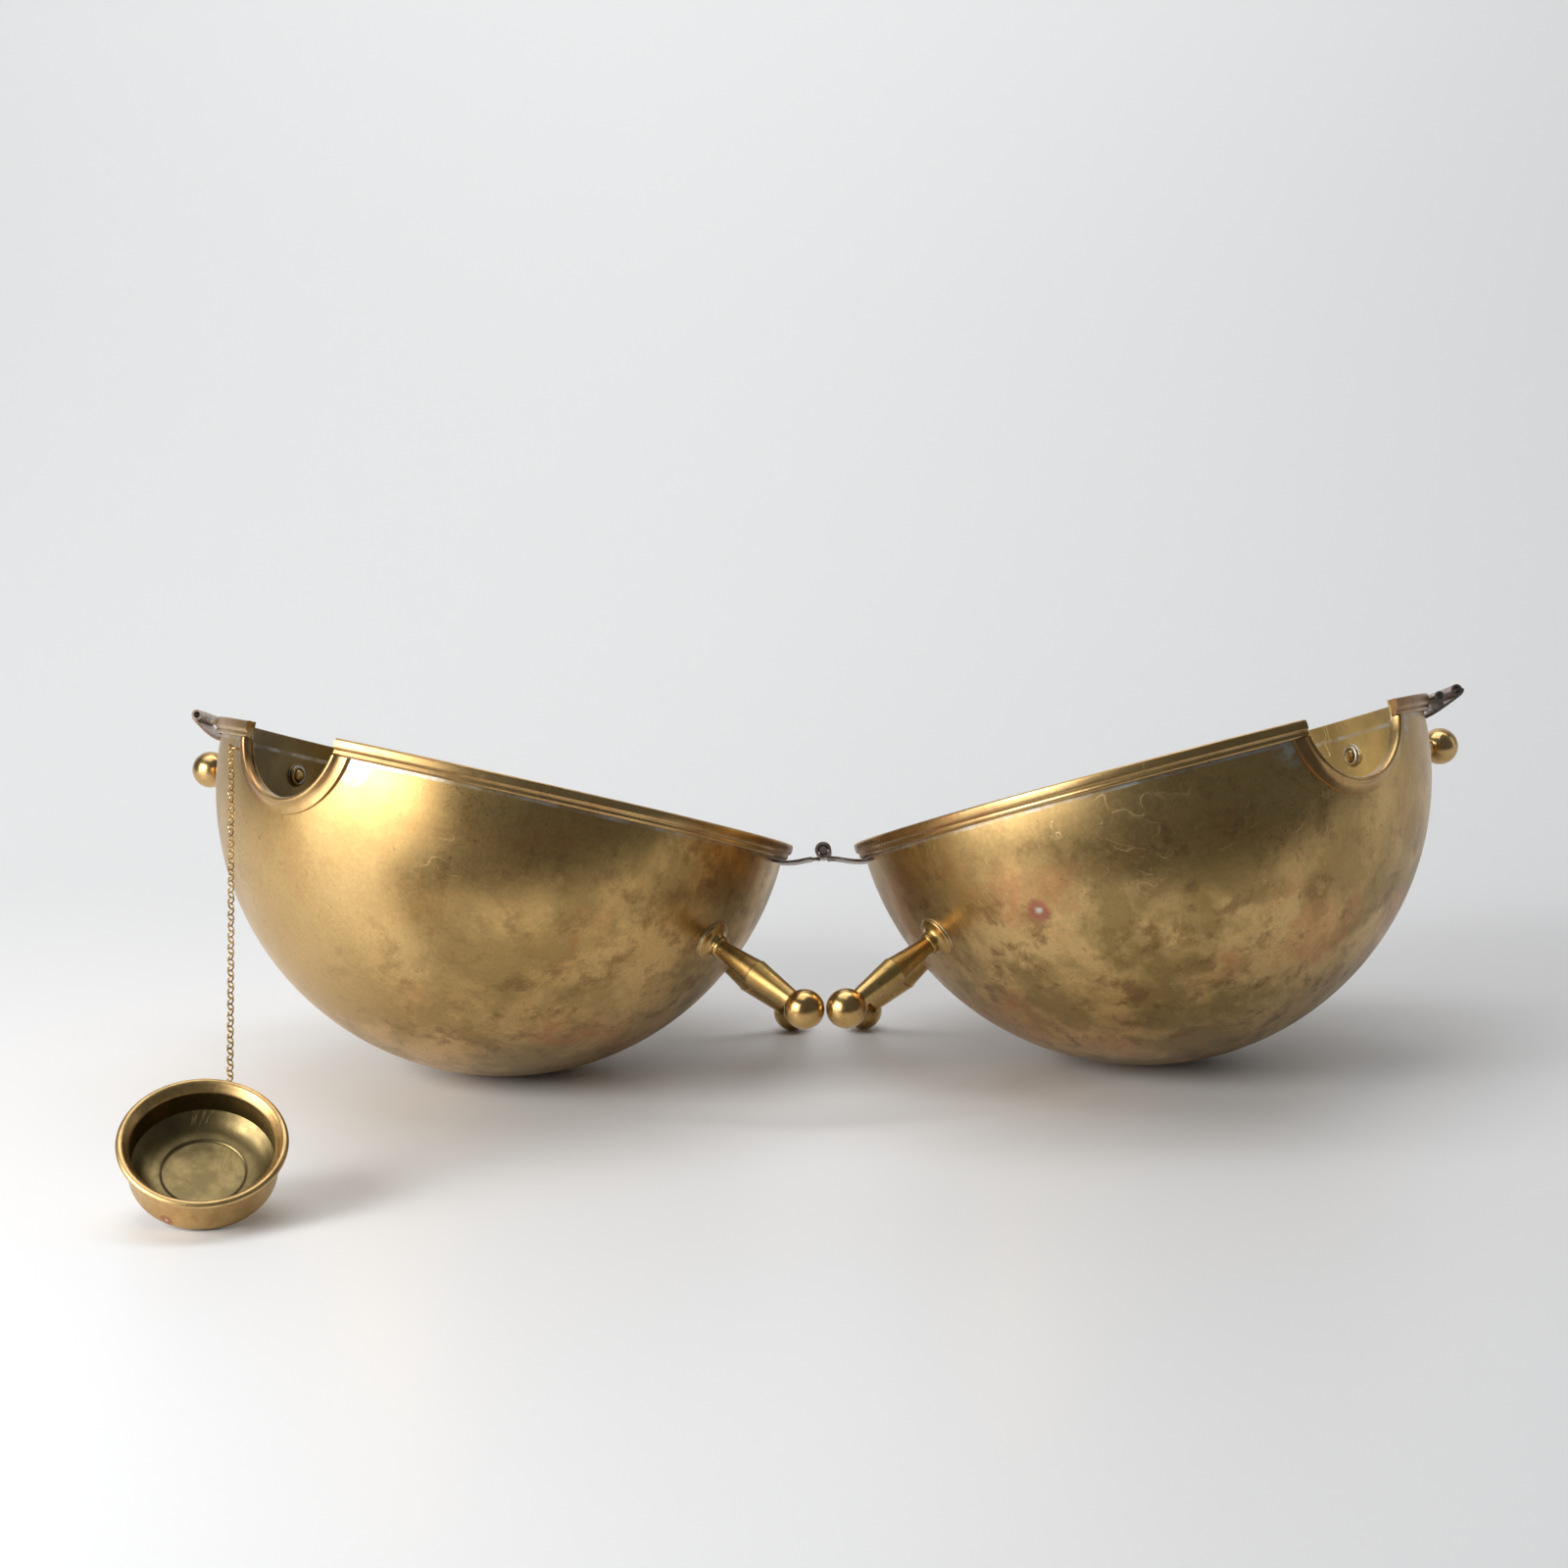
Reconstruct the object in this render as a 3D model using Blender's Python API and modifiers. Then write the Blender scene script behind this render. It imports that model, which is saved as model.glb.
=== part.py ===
"""A hollow brass ball on legs, split into two hinged bowls and laid open, with a stopper cup on a chain.

Metres, +Z up, +Y away from the viewer. The open pose is the rest pose: the front feet of the two
halves touch, and the bowls and the rear feet stand on the floor.
"""

import math

import bmesh
import bpy
from mathutils import Matrix, Vector

for old in list(bpy.data.objects):
    bpy.data.objects.remove(old, do_unlink=True)

MM = 0.001
GAP = 0.3 * MM

# Ball and wall
BALL_RADIUS = 93.0 * MM
WALL = 0.8 * MM
HINGE_RISE = 2.9 * MM
RIM_HEIGHT = HINGE_RISE - 0.15 * MM
FLAT_DEPTH = 0.42 * MM

# Rim band and mouth
BAND_HEIGHT = 5.3 * MM
BAND_PROUD = 2.7 * MM
MOUTH_RADIUS = 21.3 * MM
MOUTH_AZIMUTH = math.radians(49.3)
NECK_WIDTH = 5.0 * MM
NECK_PROUD = 2.3 * MM

# How the ball lies open: each rim drops toward the hinge and leans to the front
OPEN_TILT = math.radians(13.57)
LEAN = math.radians(12.5)

# Legs
LEG_LENGTH = 39.5 * MM
FOOT_RADIUS = 6.28 * MM
STEM_RADIUS = 2.6 * MM
KNOP_RADIUS = 4.6 * MM
KNOP_HEIGHT = 18.4 * MM
TANG_RADIUS = 2.0 * MM
FLANGE_RADIUS = 6.7 * MM
FLANGE_HEIGHT = 4.5 * MM
RIVET_RADIUS = 3.6 * MM
RIVET_GAP = 0.55 * MM
FRONT_AZIMUTH = math.radians(26.3)
REAR_SPLAY = math.radians(46.5)
UPPER_AZIMUTH = math.radians(146.1)
UPPER_DROP = math.radians(6.0)
FEET_CLEARANCE = 0.4 * MM

# Hinge
HINGE_STANDOFF = 12.65 * MM
HINGE_LENGTH = 42.0 * MM
KNUCKLE_RADIUS = 2.6 * MM
KNUCKLE_BORE = 1.7 * MM
KNUCKLE_SPLIT = 8.7 * MM
PIN_RADIUS = 1.4 * MM
LEAF_THICKNESS = 0.85 * MM

# Clasp: its tubes stand off the ball and sit below the height of the hinge
CLASP_LENGTH = 29.0 * MM
CATCH_TUBE = (8.0 * MM, 1.0 * MM, 1.7 * MM, 1.05 * MM)
INNER_TUBE = (4.9 * MM, 2.0 * MM, 1.6 * MM, 1.0 * MM)
OUTER_TUBE = (10.7 * MM, 1.45 * MM, 1.8 * MM, 1.1 * MM)

# Stopper cup and chain
CUP_RADIUS = 21.1 * MM
CUP_RIM_RADIUS = 24.3 * MM
CUP_DEPTH = 15.8 * MM
CUP_CORNER = 3.0 * MM
CUP_TILT = math.radians(32.3)
CUP_TURN = math.radians(6.5)
CUP_EYE_TURN = math.radians(7.0)
CUP_OFFSET = (-74.1 * MM, -159.9 * MM)
STAPLE_WIRE = 0.45 * MM
STAPLE_REACH = 2.3 * MM
STAPLE_WIDTH = 1.7 * MM
CHAIN_RADIUS = 1.0 * MM
CHAIN_SAG = 2.5 * MM
EYE_STANDOFF = 4.5 * MM
EYE_DROP = 6.5 * MM

BOWL_STEPS = 60

PARTS = bpy.data.collections.new("hinged_ball")
HELPERS = bpy.data.collections.new("cutters")
bpy.context.scene.collection.children.link(PARTS)
bpy.context.scene.collection.children.link(HELPERS)
HELPERS.hide_render = True

FINISHES = {
    "bowl": ((0.62, 0.45, 0.22), 0.30),
    "band": ((0.60, 0.42, 0.20), 0.32),
    "turned": ((0.68, 0.48, 0.22), 0.24),
    "leaf": ((0.42, 0.33, 0.25), 0.38),
    "rivet": ((0.60, 0.58, 0.52), 0.40),
    "cup": ((0.55, 0.38, 0.18), 0.30),
    "chain": ((0.58, 0.45, 0.25), 0.35),
}


def finish(name, kind):
    """A plain metal material for one part."""
    colour, roughness = FINISHES[kind]
    material = bpy.data.materials.new(name)
    material.use_nodes = True
    shader = material.node_tree.nodes["Principled BSDF"]
    shader.inputs["Base Color"].default_value = (*colour, 1.0)
    shader.inputs["Roughness"].default_value = roughness
    shader.inputs["Metallic"].default_value = 1.0
    return material


def place(name, data, parent, matrix, kind=None):
    """Adds an object under parent. Without a kind it is a helper for a Boolean."""
    obj = bpy.data.objects.new(name, data)
    obj.parent = parent
    obj.location = matrix.to_translation()
    obj.rotation_euler = matrix.to_euler()
    if kind:
        PARTS.objects.link(obj)
        obj.data.materials.append(finish(name, kind))
    else:
        HELPERS.objects.link(obj)
        obj.hide_render = True
        obj.display_type = "WIRE"
    return obj


def empty(name, parent, matrix):
    """A joint or frame that parts hang from."""
    obj = bpy.data.objects.new(name, None)
    obj.empty_display_size = 0.01
    obj.parent = parent
    obj.location = matrix.to_translation()
    obj.rotation_euler = matrix.to_euler()
    PARTS.objects.link(obj)
    return obj


def frame(origin=(0, 0, 0), z_axis=(0, 0, 1), x_hint=(1, 0, 0)):
    """A matrix at origin whose Z is z_axis and whose X is near x_hint."""
    z_axis = Vector(z_axis).normalized()
    x_axis = Vector(x_hint)
    x_axis = (x_axis - z_axis * z_axis.dot(x_axis)).normalized()
    y_axis = z_axis.cross(x_axis)
    matrix = Matrix((x_axis, y_axis, z_axis)).transposed().to_4x4()
    matrix.translation = Vector(origin)
    return matrix


def turned(name, profile, steps, parent, matrix, kind=None, ring=False):
    """A Screw of (radius, height) points. The outer side runs from top to bottom."""
    mesh = bpy.data.meshes.new(name)
    count = len(profile)
    edges = [(i, i + 1) for i in range(count - 1)]
    if ring:
        edges.append((count - 1, 0))
    mesh.from_pydata([(r, 0.0, h) for r, h in profile], edges, [])
    obj = place(name, mesh, parent, matrix, kind)
    screw = obj.modifiers.new("Turned", "SCREW")
    screw.axis = "Z"
    screw.steps = steps
    screw.render_steps = steps
    screw.use_merge_vertices = True
    screw.merge_threshold = 0.00001
    return obj


def plate(name, outline, half_width, parent, matrix, kind=None):
    """An (x, z) outline extruded along Y, from -half_width to half_width."""
    shape = bmesh.new()
    corners = [shape.verts.new((x, -half_width, z)) for x, z in outline]
    face = shape.faces.new(corners)
    grown = bmesh.ops.extrude_face_region(shape, geom=[face])
    moved = [item for item in grown["geom"] if isinstance(item, bmesh.types.BMVert)]
    bmesh.ops.translate(shape, verts=moved, vec=(0, 2 * half_width, 0))
    bmesh.ops.recalc_face_normals(shape, faces=shape.faces)
    mesh = bpy.data.meshes.new(name)
    shape.to_mesh(mesh)
    shape.free()
    return place(name, mesh, parent, matrix, kind)


def box(name, low, high, parent, matrix=Matrix()):
    """A box helper between two corners."""
    shape = bmesh.new()
    bmesh.ops.create_cube(shape, size=1.0)
    low = Vector(low)
    high = Vector(high)
    bmesh.ops.scale(shape, vec=high - low, verts=shape.verts)
    bmesh.ops.translate(shape, vec=(low + high) / 2, verts=shape.verts)
    mesh = bpy.data.meshes.new(name)
    shape.to_mesh(mesh)
    shape.free()
    return place(name, mesh, parent, matrix)


def cylinder(name, radius, low, high, steps, parent, matrix):
    """A cylinder helper along the matrix's Z, from low to high."""
    shape = bmesh.new()
    bmesh.ops.create_cone(shape, cap_ends=True, segments=steps, radius1=radius, radius2=radius,
                          depth=high - low)
    bmesh.ops.translate(shape, vec=(0, 0, (low + high) / 2), verts=shape.verts)
    mesh = bpy.data.meshes.new(name)
    shape.to_mesh(mesh)
    shape.free()
    return place(name, mesh, parent, matrix)


def combine(obj, other, operation):
    """An exact Boolean."""
    boolean = obj.modifiers.new(other.name, "BOOLEAN")
    boolean.operation = operation
    boolean.solver = "EXACT"
    boolean.object = other


def arc(radius, start, end, count, centre=(0.0, 0.0)):
    """count points of a circle, between two angles from the X axis."""
    angles = [start + (end - start) * i / (count - 1) for i in range(count)]
    return [(centre[0] + radius * math.cos(a), centre[1] + radius * math.sin(a)) for a in angles]


def strip_outline(path, thickness):
    """The outline of a bent strip along an (x, z) path."""
    upper = []
    lower = []
    for i, point in enumerate(path):
        before = Vector(path[max(i - 1, 0)])
        after = Vector(path[min(i + 1, len(path) - 1)])
        along = (after - before).normalized()
        normal = Vector((-along.y, along.x)) * thickness / 2
        upper.append(tuple(Vector(point) + normal))
        lower.append(tuple(Vector(point) - normal))
    return upper + lower[::-1]


def sphere_cutter(name, radius, parent):
    """A closed ball helper, to seat a part against the bowl."""
    profile = arc(radius, math.pi / 2, -math.pi / 2, 37)
    profile[0] = (0.0, radius)
    profile[-1] = (0.0, -radius)
    return turned(name, profile, 72, parent, Matrix())


# How the open ball stands.
FOOT_REACH = BALL_RADIUS + LEG_LENGTH
HINGE_REACH = BALL_RADIUS + HINGE_STANDOFF
CENTRE_HEIGHT = BALL_RADIUS - FLAT_DEPTH


def front_drop():
    """The front legs' angle below the rims, at which the two front feet just touch."""
    across = math.cos(FRONT_AZIMUTH) * math.cos(OPEN_TILT)
    down = math.sin(OPEN_TILT)
    reach = HINGE_REACH * math.cos(OPEN_TILT) + HINGE_RISE * down - FOOT_RADIUS - FEET_CLEARANCE / 2
    return math.acos(reach / (FOOT_REACH * math.hypot(across, down))) - math.atan2(down, across)


def rear_angles():
    """The rear legs' azimuth and drop, at which their feet stand on the floor.

    REAR_SPLAY is the angle between a rear leg and the level line from its ball's centre to the other's.
    """
    toward = math.cos(REAR_SPLAY)
    turn = LEAN + math.acos((CENTRE_HEIGHT - FOOT_RADIUS) / (FOOT_REACH * math.sin(REAR_SPLAY)))
    down = math.sin(REAR_SPLAY) * math.cos(turn)
    back = math.sin(REAR_SPLAY) * math.sin(turn)
    along = toward * math.cos(OPEN_TILT) + down * math.sin(OPEN_TILT)
    below = down * math.cos(OPEN_TILT) - toward * math.sin(OPEN_TILT)
    return math.atan2(back, along), math.asin(below)


REAR_AZIMUTH, REAR_DROP = rear_angles()
# (name, azimuth from the hinge, side of the ball, drop below the rim)
LEGS = (
    ("front", FRONT_AZIMUTH, 1, front_drop()),
    ("rear", REAR_AZIMUTH, -1, REAR_DROP),
    ("upper", UPPER_AZIMUTH, -1, UPPER_DROP),
)

root = empty("open_ball", None, Matrix())
hinge_axis = Vector((0, -math.cos(LEAN), math.sin(LEAN)))
# The hinge frame: X to the right, Y up from the rims, Z along the pin toward the front.
hinge_turn = frame((0, 0, 0), hinge_axis, (1, 0, 0))
to_centre = Vector((HINGE_REACH * math.cos(OPEN_TILT) + HINGE_RISE * math.sin(OPEN_TILT),
                    HINGE_REACH * math.sin(OPEN_TILT) - HINGE_RISE * math.cos(OPEN_TILT), 0))
sphere_from_hinge = hinge_turn.to_3x3() @ to_centre
hinge_place = Vector((0, -sphere_from_hinge.y, CENTRE_HEIGHT - sphere_from_hinge.z))
hinge = empty("hinge_joint", root, Matrix.Translation(hinge_place) @ hinge_turn)


def half_frame(side):
    """A bowl's own frame from the hinge frame: X outward, Z up out of the bowl."""
    x_axis = Vector((-side * math.cos(OPEN_TILT), math.sin(OPEN_TILT), 0))
    y_axis = Vector((0, 0, side))
    z_axis = x_axis.cross(y_axis)
    matrix = Matrix((x_axis, y_axis, z_axis)).transposed().to_4x4()
    matrix.translation = Vector((-side * to_centre.x, to_centre.y, 0))
    return matrix


def bowl_profile():
    """The wall, from the inner pole up to the rim and down the outside."""
    inner = BALL_RADIUS - WALL
    inside = arc(inner, -math.pi / 2, math.asin(RIM_HEIGHT / inner), 14)
    outside = arc(BALL_RADIUS, math.asin(RIM_HEIGHT / BALL_RADIUS), -math.pi / 2, 17)
    inside[0] = (0.0, -inner)
    outside[-1] = (0.0, -BALL_RADIUS)
    return inside + outside


def band_profile():
    """A raised fascia round the rim with a rolled top and a stepped lower edge."""
    inner = BALL_RADIUS + GAP
    outer = BALL_RADIUS + BAND_PROUD
    low = RIM_HEIGHT - BAND_HEIGHT
    return [
        (inner, low),
        (inner, RIM_HEIGHT),
        (outer - 0.7 * MM, RIM_HEIGHT),
        (outer - 0.1 * MM, RIM_HEIGHT - 0.4 * MM),
        (outer, RIM_HEIGHT - 0.25 * BAND_HEIGHT),
        (outer - 0.1 * MM, RIM_HEIGHT - 0.56 * BAND_HEIGHT),
        (outer - 0.3 * BAND_PROUD, RIM_HEIGHT - 0.75 * BAND_HEIGHT),
        (outer - 0.48 * BAND_PROUD, low),
    ]


def neck_profile():
    """A round lip at the mouth that sweeps out to an edge on the bowl."""
    inner = MOUTH_RADIUS
    outer = MOUTH_RADIUS + NECK_WIDTH
    # The mouth is centred above the ball's centre, so its lowest point sits highest on the ball.
    seat = math.sqrt(BALL_RADIUS**2 - (inner - HINGE_RISE)**2)
    foot = math.sqrt(BALL_RADIUS**2 - (outer - HINGE_RISE)**2)
    top = seat + NECK_PROUD
    return [
        (outer, foot - 2.2 * MM),
        (inner, seat - 2.2 * MM),
        (inner, top - 0.9 * MM),
        (inner + 0.35 * MM, top - 0.25 * MM),
        (inner + 0.95 * MM, top),
        (inner + 1.6 * MM, top - 0.2 * MM),
        (inner + 2.05 * MM, top - 0.85 * MM),
        (inner + 0.44 * NECK_WIDTH, seat + 1.2 * MM),
        (inner + 0.58 * NECK_WIDTH, seat + 0.4 * MM),
        (inner + 0.8 * NECK_WIDTH, foot + 1.15 * MM),
        (outer, foot + 0.9 * MM),
    ]


def build_leg(half, prefix, leg, side, bowl):
    """One turned leg: base flange, stem with its tang, ball end and inner washer."""
    name, azimuth, across, drop = leg
    axis = Vector((-math.cos(drop) * math.cos(azimuth),
                   side * across * math.cos(drop) * math.sin(azimuth),
                   -math.sin(drop)))
    turn = frame((0, 0, 0), axis, (0, 0, 1))
    wall = BALL_RADIUS
    inner = BALL_RADIUS - WALL
    seat = FOOT_REACH - math.sqrt(FOOT_RADIUS**2 - 3.1**2 * MM**2)
    hole = TANG_RADIUS + GAP
    under = inner - RIVET_GAP
    combine(bowl, cylinder(f"{prefix}_{name}_hole", hole, inner - 6 * MM, wall + 6 * MM, 16, half, turn),
            "DIFFERENCE")
    bore = STEM_RADIUS + GAP
    turned(f"{prefix}_{name}_flange", [
        (FLANGE_RADIUS, wall + 0.1 * MM),
        (bore, wall + GAP),
        (bore, wall + FLANGE_HEIGHT),
        (bore + 0.7 * MM, wall + FLANGE_HEIGHT),
        (bore + 0.85 * MM, wall + 0.55 * FLANGE_HEIGHT),
        (bore + 1.8 * MM, wall + 0.32 * FLANGE_HEIGHT),
        (FLANGE_RADIUS, wall + 0.18 * FLANGE_HEIGHT),
    ], 18, half, turn, "turned", ring=True)
    turned(f"{prefix}_{name}_leg", [
        (0.0, seat + 3.0 * MM),
        (1.5 * MM, seat + 3.0 * MM),
        (1.5 * MM, seat - GAP),
        (3.1 * MM, seat - GAP),
        (KNOP_RADIUS, wall + KNOP_HEIGHT + 0.5 * MM),
        (KNOP_RADIUS - 0.3 * MM, wall + KNOP_HEIGHT - 0.5 * MM),
        (STEM_RADIUS, wall + FLANGE_HEIGHT + 0.2 * MM),
        (STEM_RADIUS, wall + GAP),
        (TANG_RADIUS, wall + GAP),
        (TANG_RADIUS, under - 1.0 * MM),
        (0.7 * TANG_RADIUS, under - 1.4 * MM),
        (0.0, under - 1.5 * MM),
    ], 16, half, turn, "turned")
    start = math.pi / 2
    end = -math.acos(3.1 * MM / FOOT_RADIUS)
    ball = arc(FOOT_RADIUS, start, end, 10, (0.0, FOOT_REACH))
    ball[0] = (0.0, FOOT_REACH + FOOT_RADIUS)
    turned(f"{prefix}_{name}_ball", ball + [
        (1.8 * MM, seat),
        (1.8 * MM, seat + 3.3 * MM),
        (0.0, seat + 3.3 * MM),
    ], 18, half, turn, "turned")
    turned(f"{prefix}_{name}_rivet", [
        (RIVET_RADIUS, under - 0.5 * MM),
        (RIVET_RADIUS - 0.4 * MM, under - 0.9 * MM),
        (hole, under - 0.9 * MM),
        (hole, under),
        (RIVET_RADIUS, under),
    ], 16, half, turn, "rivet", ring=True)


def build_half(prefix, side):
    """One bowl with its band, neck half ring and three legs."""
    half = empty(f"{prefix}_half", hinge, half_frame(side))
    bowl = turned(f"{prefix}_bowl", bowl_profile(), BOWL_STEPS, half, Matrix(), "bowl")
    band = turned(f"{prefix}_rim_band", band_profile(), BOWL_STEPS, half, Matrix(), "band", ring=True)
    mouth = frame((0, 0, HINGE_RISE),
                  (math.cos(MOUTH_AZIMUTH), side * math.sin(MOUTH_AZIMUTH), 0), (0, 0, 1))
    drill = cylinder(f"{prefix}_mouth_cutter", MOUTH_RADIUS, 0.6 * BALL_RADIUS, 1.2 * BALL_RADIUS,
                     48, half, mouth)
    combine(bowl, drill, "DIFFERENCE")
    combine(band, drill, "DIFFERENCE")
    neck = turned(f"{prefix}_neck_ring", neck_profile(), 48, half, mouth, "band", ring=True)
    ends = HINGE_RISE - RIM_HEIGHT + BAND_HEIGHT + GAP
    reach = 2 * MOUTH_RADIUS
    combine(neck, box(f"{prefix}_neck_cutter", (-ends, -reach, 0.7 * BALL_RADIUS),
                      (reach, reach, 1.3 * BALL_RADIUS), half, mouth), "DIFFERENCE")
    seat = sphere_cutter(f"{prefix}_ball_cutter", BALL_RADIUS + GAP, half)
    combine(neck, seat, "DIFFERENCE")
    for leg in LEGS:
        build_leg(half, prefix, leg, side, bowl)
    shift = half.location.x
    floor_cutter = box(f"{prefix}_floor_cutter", (shift - 30 * MM, -30 * MM, -10 * MM),
                       (shift + 30 * MM, 30 * MM, 0), root)
    combine(bowl, floor_cutter, "DIFFERENCE")
    return half, seat


def build_hinge_leaf(prefix, side, half, ball_cutter):
    """A strip under the band, rolled into knuckles round the pin."""
    reach = HINGE_REACH
    under = RIM_HEIGHT - BAND_HEIGHT
    path = [
        (-(BALL_RADIUS - 4 * MM), under - 1.5 * MM),
        (-(BALL_RADIUS + BAND_PROUD), under - 0.9 * MM),
        (-(reach - KNUCKLE_RADIUS), HINGE_RISE - KNUCKLE_RADIUS - 0.45 * MM),
        (-(reach - 0.5 * MM), HINGE_RISE - KNUCKLE_RADIUS - 0.15 * MM),
    ]
    leaf = plate(f"{prefix}_hinge_leaf", strip_outline(path, LEAF_THICKNESS),
                 HINGE_LENGTH / 2 - 0.4 * MM, half, Matrix(), "leaf")
    combine(leaf, ball_cutter, "DIFFERENCE")
    edge = KNUCKLE_SPLIT
    tip = HINGE_LENGTH / 2
    own = [(-edge + GAP / 2, edge - GAP / 2)]
    slot = 0.1 * MM
    other = [(-tip - 2 * MM, -edge + slot), (edge - slot, tip + 2 * MM)]
    if side < 0:
        own = [(-tip, -edge - GAP / 2), (edge + GAP / 2, tip)]
        other = [(-edge - slot, edge + slot)]
    for i, (low, high) in enumerate(other):
        combine(leaf, box(f"{prefix}_leaf_slot_{i}", (-reach - 6 * MM, low, -8 * MM),
                          (-reach + KNUCKLE_RADIUS + 0.5 * MM, high, 8 * MM), half), "DIFFERENCE")
    along = frame((-reach, 0, HINGE_RISE), (0, 1, 0), (1, 0, 0))
    for i, (low, high) in enumerate(own):
        combine(leaf, cylinder(f"{prefix}_knuckle_{i}", KNUCKLE_RADIUS, low, high, 20, half, along),
                "UNION")
    combine(leaf, cylinder(f"{prefix}_knuckle_bore", KNUCKLE_BORE, -tip - 4 * MM, tip + 4 * MM, 20,
                           half, along), "DIFFERENCE")


def build_clasp_leaf(prefix, half, ball_cutter, path, tubes):
    """A springy strip under the band with tubes that snap past those of the other half.

    tubes are (outward, drop below the hinge's height, radius, bore). A tube that clears the strip
    stands on a saddle.
    """
    leaf = plate(f"{prefix}_clasp_leaf", strip_outline(path, LEAF_THICKNESS),
                 CLASP_LENGTH / 2 - 0.3 * MM, half, Matrix(), "leaf")
    combine(leaf, ball_cutter, "DIFFERENCE")
    tip = CLASP_LENGTH / 2
    for i, (out, drop, outer, bore) in enumerate(tubes):
        x = BALL_RADIUS + out
        z = HINGE_RISE - drop
        along = frame((x, 0, z), (0, 1, 0), (1, 0, 0))
        strip = height_on(path, x)
        if strip + 0.3 * LEAF_THICKNESS < z - outer:
            combine(leaf, box(f"{prefix}_saddle_{i}", (x - 0.9 * MM, -tip + 0.6 * MM, strip),
                              (x + 0.9 * MM, tip - 0.6 * MM, z - (outer + bore) / 2), half), "UNION")
        combine(leaf, cylinder(f"{prefix}_clasp_tube_{i}", outer, -tip, tip, 16, half, along), "UNION")
        combine(leaf, cylinder(f"{prefix}_clasp_bore_{i}", bore, -tip - 3 * MM, tip + 3 * MM, 16, half,
                               along), "DIFFERENCE")


def height_on(path, x):
    """The height of an (x, z) path at x."""
    for (x0, z0), (x1, z1) in zip(path, path[1:]):
        if x0 <= x <= x1:
            return z0 + (z1 - z0) * (x - x0) / (x1 - x0)
    return path[-1][1]


def wire(name, points, radius, parent, matrix, kind):
    """A round wire along points, as a mesh with closed ends."""
    curve = bpy.data.curves.new(name, "CURVE")
    curve.dimensions = "3D"
    curve.bevel_depth = radius
    curve.bevel_resolution = 2
    curve.use_fill_caps = True
    spline = curve.splines.new("POLY")
    spline.points.add(len(points) - 1)
    for knot, point in zip(spline.points, points):
        knot.co = (*point, 1.0)
    return place(name, curve, parent, matrix, kind)


def staple_points():
    """A U of wire standing out along Z, its legs apart along X."""
    half = STAPLE_WIDTH
    straight = STAPLE_REACH - half
    bend = [(x, 0.0, z) for x, z in arc(half, 0, math.pi, 9, (0.0, straight))]
    return [(half, 0.0, GAP), *bend, (-half, 0.0, GAP)]


def clasp_path(tube, dip, wrap):
    """A strip's path from under the band, rising below a tube and, with wrap, round its far side."""
    out, drop, outer, _ = tube
    x = BALL_RADIUS + out
    z = HINGE_RISE - drop
    under = RIM_HEIGHT - BAND_HEIGHT - LEAF_THICKNESS / 2
    path = [(BALL_RADIUS - 2 * MM, under - 1.6 * MM - dip), (BALL_RADIUS + BAND_PROUD, under - 0.6 * MM - dip),
            (x, z - outer - 0.3 * LEAF_THICKNESS)]
    if wrap:
        path += [(x + 0.95 * outer, z - 0.62 * outer), (x + 1.12 * outer, z)]
    else:
        path.append((x + 0.7 * outer, z - 0.75 * outer))
    return path


left, left_seat = build_half("left", 1)
right, right_seat = build_half("right", -1)
for side_name, side_sign, side_half, seat_cutter in (
    ("left", 1, left, left_seat),
    ("right", -1, right, right_seat),
):
    build_hinge_leaf(side_name, side_sign, side_half, seat_cutter)
    if side_sign > 0:
        build_clasp_leaf(side_name, side_half, seat_cutter, clasp_path(CATCH_TUBE, 0.0, False), [CATCH_TUBE])
    else:
        build_clasp_leaf(side_name, side_half, seat_cutter, clasp_path(OUTER_TUBE, 0.2 * MM, True),
                         [INNER_TUBE, OUTER_TUBE])

pin_half = HINGE_LENGTH / 2 - 0.6 * MM
turned("hinge_pin", [(0, pin_half), (PIN_RADIUS, pin_half), (PIN_RADIUS, -pin_half), (0, -pin_half)],
       20, hinge, Matrix(), "turned")

# The chain's staple, on the left bowl under the band and beside the neck ring.
ring_half = math.sqrt((MOUTH_RADIUS + NECK_WIDTH)**2 - (EYE_DROP + HINGE_RISE)**2)
eye_azimuth = MOUTH_AZIMUTH - math.asin(ring_half / BALL_RADIUS) - EYE_STANDOFF / BALL_RADIUS
eye_level = math.sqrt(BALL_RADIUS**2 - EYE_DROP**2)
eye_out = Vector((math.cos(eye_azimuth) * eye_level, math.sin(eye_azimuth) * eye_level, -EYE_DROP))
staple_turn = frame(eye_out, eye_out, (-math.sin(eye_azimuth), math.cos(eye_azimuth), 0))
wire("chain_staple", staple_points(), STAPLE_WIRE, left, staple_turn, "chain")

bpy.context.view_layer.update()
left_in_root = hinge.matrix_local @ left.matrix_local
eye = left_in_root @ staple_turn @ Vector((0, 0, STAPLE_REACH))

# The stopper cup, tipped on its bottom edge.
cup_axis = Vector((math.sin(CUP_TURN), -math.sin(CUP_TILT) * math.cos(CUP_TURN),
                   math.cos(CUP_TILT) * math.cos(CUP_TURN)))
edge_drop = (CUP_RADIUS - CUP_CORNER) * math.sqrt(1 - cup_axis.z**2) + CUP_CORNER * (1 - cup_axis.z)
cup_origin = Vector((left_in_root.translation.x + CUP_OFFSET[0], CUP_OFFSET[1], edge_drop + 0.1 * MM))
cup_turn = frame(cup_origin, cup_axis, (math.sin(CUP_EYE_TURN), math.cos(CUP_EYE_TURN), 0))
staple_height = 0.62 * CUP_DEPTH
cup_eye = cup_turn @ Vector((CUP_RADIUS + STAPLE_REACH, 0, staple_height))
chain_joint = empty("chain_joint", root, Matrix.Translation(eye))
cup_joint = empty("cup_joint", chain_joint, Matrix.Translation(cup_eye - eye))
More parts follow.
